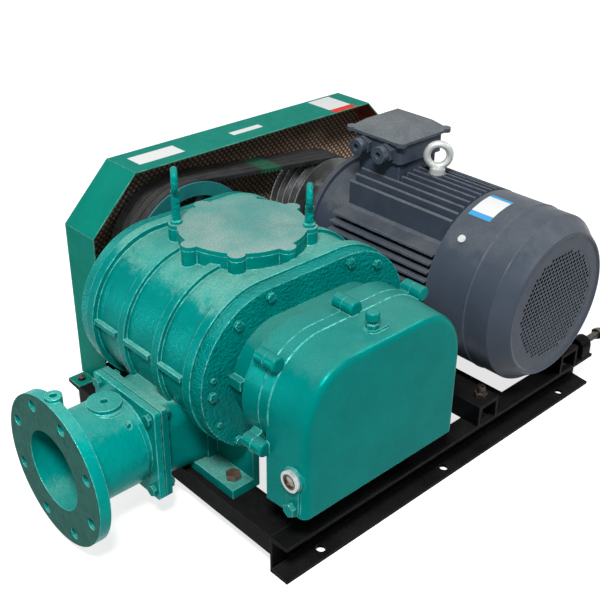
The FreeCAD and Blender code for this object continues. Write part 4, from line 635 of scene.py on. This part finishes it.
# Motor pulley: bare turned cast iron, with faint lathe lines and a grey film of belt dust.
# The blower's shaft seal beside the other pulley is brown rubber.
turned_iron = metal("turned cast iron", "a3a4a5", "808182", 0.36, 0.9, bump=0.12, streak=180.0,
                    stretch=(1.0, 9.0, 1.0), dust=0.3)
finish_nodes(turned_iron, "motor_pulley")
seal_rubber = painted("seal rubber", "31201a", "261814", "46302a", "6b6058", 0.5,
                      dust=0.1, wear=0.1, bump=0.05)
finish_nodes(seal_rubber, "shaft_seal")


# Belt guard: folded sheet steel, teal like the blower but sprayed thinner and flatter, open
# towards the blower. Its back is expanded steel mesh, a net of slanting strands with worn
# brown-grey paint.
guard_middle, foot_z = (0.0, 0.3, 0.26), 0.084


def sheet_paint():
    """Teal outside; the faces turned to the belts keep their red-brown primer."""
    made = painted("sprayed teal sheet", "007869", "007062", "b5cdbb", "86b8a8", 0.36,
                   dust=0.03, patch=5.0, start=0.6, wear=0.9, rub=0.0014, bump=0.06, lumps=0.8,
                   lump_scale=25.0, soft=0.0008, shine=0.02, glint="50fbee", sheen_share=0.1)
    tree, shader, outside = reopened(made)
    from_middle = vectors(tree, "SUBTRACT", here(tree), guard_middle)
    outward = vectors(tree, "DOT_PRODUCT", from_middle, facing(tree), gives="Value")
    cloud = ramp(tree, noise(tree, 22.0, 4.0), 0.3, 0.7)
    primer = blend_colour(tree, cloud, tone("8f3a28"), tone("5c2a20"))
    above_feet = ramp(tree, axis(tree, here(tree), "Z"), foot_z, foot_z + 0.006)
    inner = times(tree, ramp(tree, outward, -0.05, -0.1), above_feet)
    feed(tree, shader, {"Base Color": blend_colour(tree, inner, outside, primer)})
    return made


finish_nodes(sheet_paint(), "belt_guard")
outline = [(-0.4235, 0.080), (-0.4235, 0.4252), (-0.3180, 0.5315),
           (0.3240, 0.5315), (0.4295, 0.4252), (0.4295, 0.080)]
strand_width, strand_gap, strand_rise = 0.0062, 0.0100, 1.15
sheet_thick, lean_in, shortest_strand = 0.0010, 0.0038, 0.004
net_middle = Vector((0.0, 0.3))
# where the painted shade at a strand's margin begins and is full, and how dark it gets
shade_from, shade_full, shade_share = 0.0022, 0.0029, 0.8


def strand_paint():
    """Brown-grey paint, with painted shade, near black, in each strand's margins beside the slits.
    """
    made = painted("mesh strand paint", "c7ad98", "a88c77", "cfbba8", "b3aa9f", 0.6,
                   dust=0.2, wear=0.3, bump=0.25, shine=0.08)
    tree, shader, colour = reopened(made)
    from_middle = vectors(tree, "SUBTRACT", here(tree), (net_middle.x, 0.0, net_middle.y))
    slant = math.hypot(1.0, strand_rise)
    for hand in (1, -1):
        side = (strand_rise / slant, 0.0, -hand / slant)
        across = vectors(tree, "DOT_PRODUCT", from_middle, side, gives="Value")
        off = numbers(tree, "PINGPONG", across, strand_gap / 2)
        # painted shade: the strand's margins go near black, for the shadow in the slits between
        # strands
        shaded_margin = times(tree, ramp(tree, off, shade_from, shade_full), shade_share)
        colour = blend_colour(tree, shaded_margin, colour, tone("1d1511"))
    feed(tree, shader, {"Base Color": colour})
    return made


def inside_run(line_point, direction):
    """The stretch of a slanting strand that lies inside the guard's outline."""
    enter, leave = -math.inf, math.inf
    for a, b in zip(outline, outline[1:] + outline[:1]):
        a, b = Vector(a), Vector(b)
        inward = Vector((b.y - a.y, a.x - b.x)).normalized()
        rate = direction.dot(inward)
        hit = (a - line_point).dot(inward) / rate
        if rate > 0:
            enter = max(enter, hit)
        else:
            leave = min(leave, hit)
    return (enter, leave) if leave - enter > shortest_strand else None


def net(reach=110):
    """Points and faces of two crossing families of strands, each a thin bar tilted in the sheet."""
    front_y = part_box("guard_mesh")[1].y - sheet_thick - lean_in
    section = ((-0.5, front_y), (0.5, front_y + lean_in),
               (0.5, front_y + lean_in + sheet_thick), (-0.5, front_y + sheet_thick))
    points, faces = [], []
    for family in (1, -1):
        direction = Vector((1.0, strand_rise * family)).normalized()
        side = Vector((-direction.y, direction.x)) * family
        for k in range(-reach, reach + 1):
            centre = net_middle + side * (k * strand_gap)
            run = inside_run(centre, direction)
            if not run:
                continue
            base = len(points)
            for end in (centre + direction * run[0], centre + direction * run[1]):
                for across, y in section:
                    spot = end + side * (across * strand_width)
                    points.append((spot.x, y, spot.y))
            faces += hoop(base, base + 4, 4)
            faces += [tuple(range(base, base + 4)), tuple(range(base + 4, base + 8))]
    return points, faces


expanded_mesh = skin("expanded_mesh", *net(), "base_frame", strand_paint(), "mesh_steel")
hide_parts("guard_mesh")


# Blank plates: plain stickers on the guard's top and the cowl's skirt, with nothing written on
# them. They are thin film, rubbed down by hand on the paint.
def film(name, code, dust):
    return painted(name, code, code, code, "b9b7ae", 0.5, dust=dust, wear=0.0, bump=0.03,
                   shine=0.05)


white_film = film("white film", "d2d4d4", 0.2)
red_film = film("red film", "cc2a18", 0.04)
blue_film = film("blue film", "2f8fc6", 0.1)
guard_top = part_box("belt_guard")[1].z
film_thick = 0.0003


def plate(name, x0, y0, x1, y1, material):
    """A film laid on the guard's top, with its edges going down to the sheet."""
    edge = [(x0, y0), (x1, y0), (x1, y1), (x0, y1)]
    points = [(x, y, z) for z in (guard_top + film_thick, guard_top) for x, y in edge]
    faces = [(0, 1, 2, 3), (0, 4, 5, 1), (1, 5, 6, 2), (2, 6, 7, 3), (3, 7, 4, 0), (7, 6, 5, 4)]
    skin(name, points, faces, "base_frame", material)


plate("blank_plate_left", -0.289, 0.280, -0.179, 0.324, white_film)
plate("blank_plate_middle", -0.045, 0.288, 0.036, 0.306, white_film)
plate("blank_plate_right", 0.220, 0.271, 0.286, 0.344, white_film)
plate("red_plate_right", 0.220, 0.2515, 0.286, 0.271, red_film)


def wrapped(name, turn0, turn1, y0, y1, material, lift, steps=8):
    """A film on the skirt between two angles from straight up, towards the blower; its lift
    counts from the top of the bead."""
    r = skirt_r + lift
    points, faces = [], []
    for k in range(steps + 1):
        turn = math.radians(turn0 + (turn1 - turn0) * k / steps)
        for y in (y0, y1):
            points.append((motor_x - r * math.sin(turn), y, motor_z + r * math.cos(turn)))
        if k:
            faces.append((2 * k - 2, 2 * k - 1, 2 * k + 1, 2 * k))
    skin(name, points, faces, "motor_carriage", material, None, True)


wrapped("blue_film_back", 1, 26, -0.251, -0.199, blue_film, -0.0006)
wrapped("white_film_front", 4, 22, -0.2508, -0.1992, white_film, -0.0003)


# Floor, light and camera: the set stands on a plain pale floor, in an even pale surround. A soft
# lamp high over the camera gives most of the light, and weaker ones stand at the right, at the
# left and behind.
def looked_at(tree):
    """1 for what the camera sees itself, or sees in gloss and glass; 0 for light that bounces."""
    kinds = put(tree, "LightPath").outputs
    mirrored = numbers(tree, "MAXIMUM", kinds["Is Glossy Ray"], kinds["Is Transmission Ray"])
    return numbers(tree, "MAXIMUM", kinds["Is Camera Ray"], mirrored)


floor_reach = 14.0
near, far, near_glow = 0.9, 3.5, 0.76
white = (1.0, 1.0, 1.0, 1.0)
floor_mesh = bpy.data.meshes.new("floor")
floor_mesh.from_pydata([(x * floor_reach, y * floor_reach, 0)
                        for x, y in ((-1, -1), (1, -1), (1, 1), (-1, 1))], [], [(0, 1, 2, 3)])
floor = bpy.data.objects.new("floor", floor_mesh)
bpy.context.scene.collection.objects.link(floor)
pale, tree, shader = fresh("pale floor")
cloud = ramp(tree, noise(tree, 1.5), 0.3, 0.7)
feed(tree, shader, {"Base Color": blend_colour(tree, cloud, tone("82827f"), tone("777775")),
                    "Roughness": 0.9})
away = vectors(tree, "LENGTH", here(tree), gives="Value")
glow = ramp(tree, away, near, far, near_glow, 1.0)
blank = put(tree, "Emission", {"Color": white, "Strength": glow}).outputs[0]
chalk = put(tree, "BsdfDiffuse", {"Color": (0.5, 0.5, 0.5, 1.0)}).outputs[0]
seen_floor = put(tree, "AddShader", {0: chalk, 1: blank}).outputs[0]
floors = put(tree, "MixShader", {0: looked_at(tree), 1: shader.outputs[0], 2: seen_floor})
tree.links.new(floors.outputs[0], tree.nodes["Material Output"].inputs["Surface"])
floor_mesh.materials.append(pale)

surround_light = 0.22
world = bpy.data.worlds.new("pale surround")
bpy.context.scene.world = world
world.use_nodes = True
tree = world.node_tree
strength = between(tree, looked_at(tree), surround_light, 1.0)
feed(tree, tree.nodes["Background"], {"Color": white, "Strength": strength})


def lamp(name, place, aim, size, power):
    """A rectangular lamp, its size in metres and its power in watts."""
    light = bpy.data.lights.new(name, "AREA")
    light.shape = "RECTANGLE"
    light.size, light.size_y = size
    light.energy = power
    made = bpy.data.objects.new(name, light)
    made.location = place
    made.rotation_mode = "QUATERNION"
    made.rotation_quaternion = (Vector(aim) - Vector(place)).to_track_quat("-Z", "Y")
    bpy.context.scene.collection.objects.link(made)


lamp("front lamp", (-1.65, -1.4, 2.8), (0.0, 0.0, 0.25), (0.7, 0.5), 126.0)
lamp("side lamp", (1.6, -1.6, 2.2), (-0.2, 0.0, 0.3), (0.7, 0.5), 22.0)
lamp("left lamp", (-2.9, 1.9, 0.8), (0.1, -0.1, 0.3), (0.5, 1.3), 20.0)
lamp("back lamp", (-0.6, 2.4, 2.6), (0.0, 0.0, 0.3), (1.6, 1.0), 14.0)

eye = bpy.data.cameras.new("camera")
eye.lens = 59.32
eye.sensor_width = 36.0
eye.clip_end = 100.0
camera = bpy.data.objects.new("camera", eye)
right = Vector((0.73351584, -0.67960288, 0.00971768))
up = Vector((0.32687966, 0.36527443, 0.87162164))
back = Vector((-0.5959062, -0.63617177, 0.49008294))
placed = Matrix((right, up, back)).transposed().to_4x4()
placed.translation = Vector((-1.29438, -1.25438, 1.25167))
camera.matrix_world = placed
bpy.context.scene.collection.objects.link(camera)
bpy.context.scene.camera = camera
bpy.context.scene.view_settings.view_transform = "Standard"
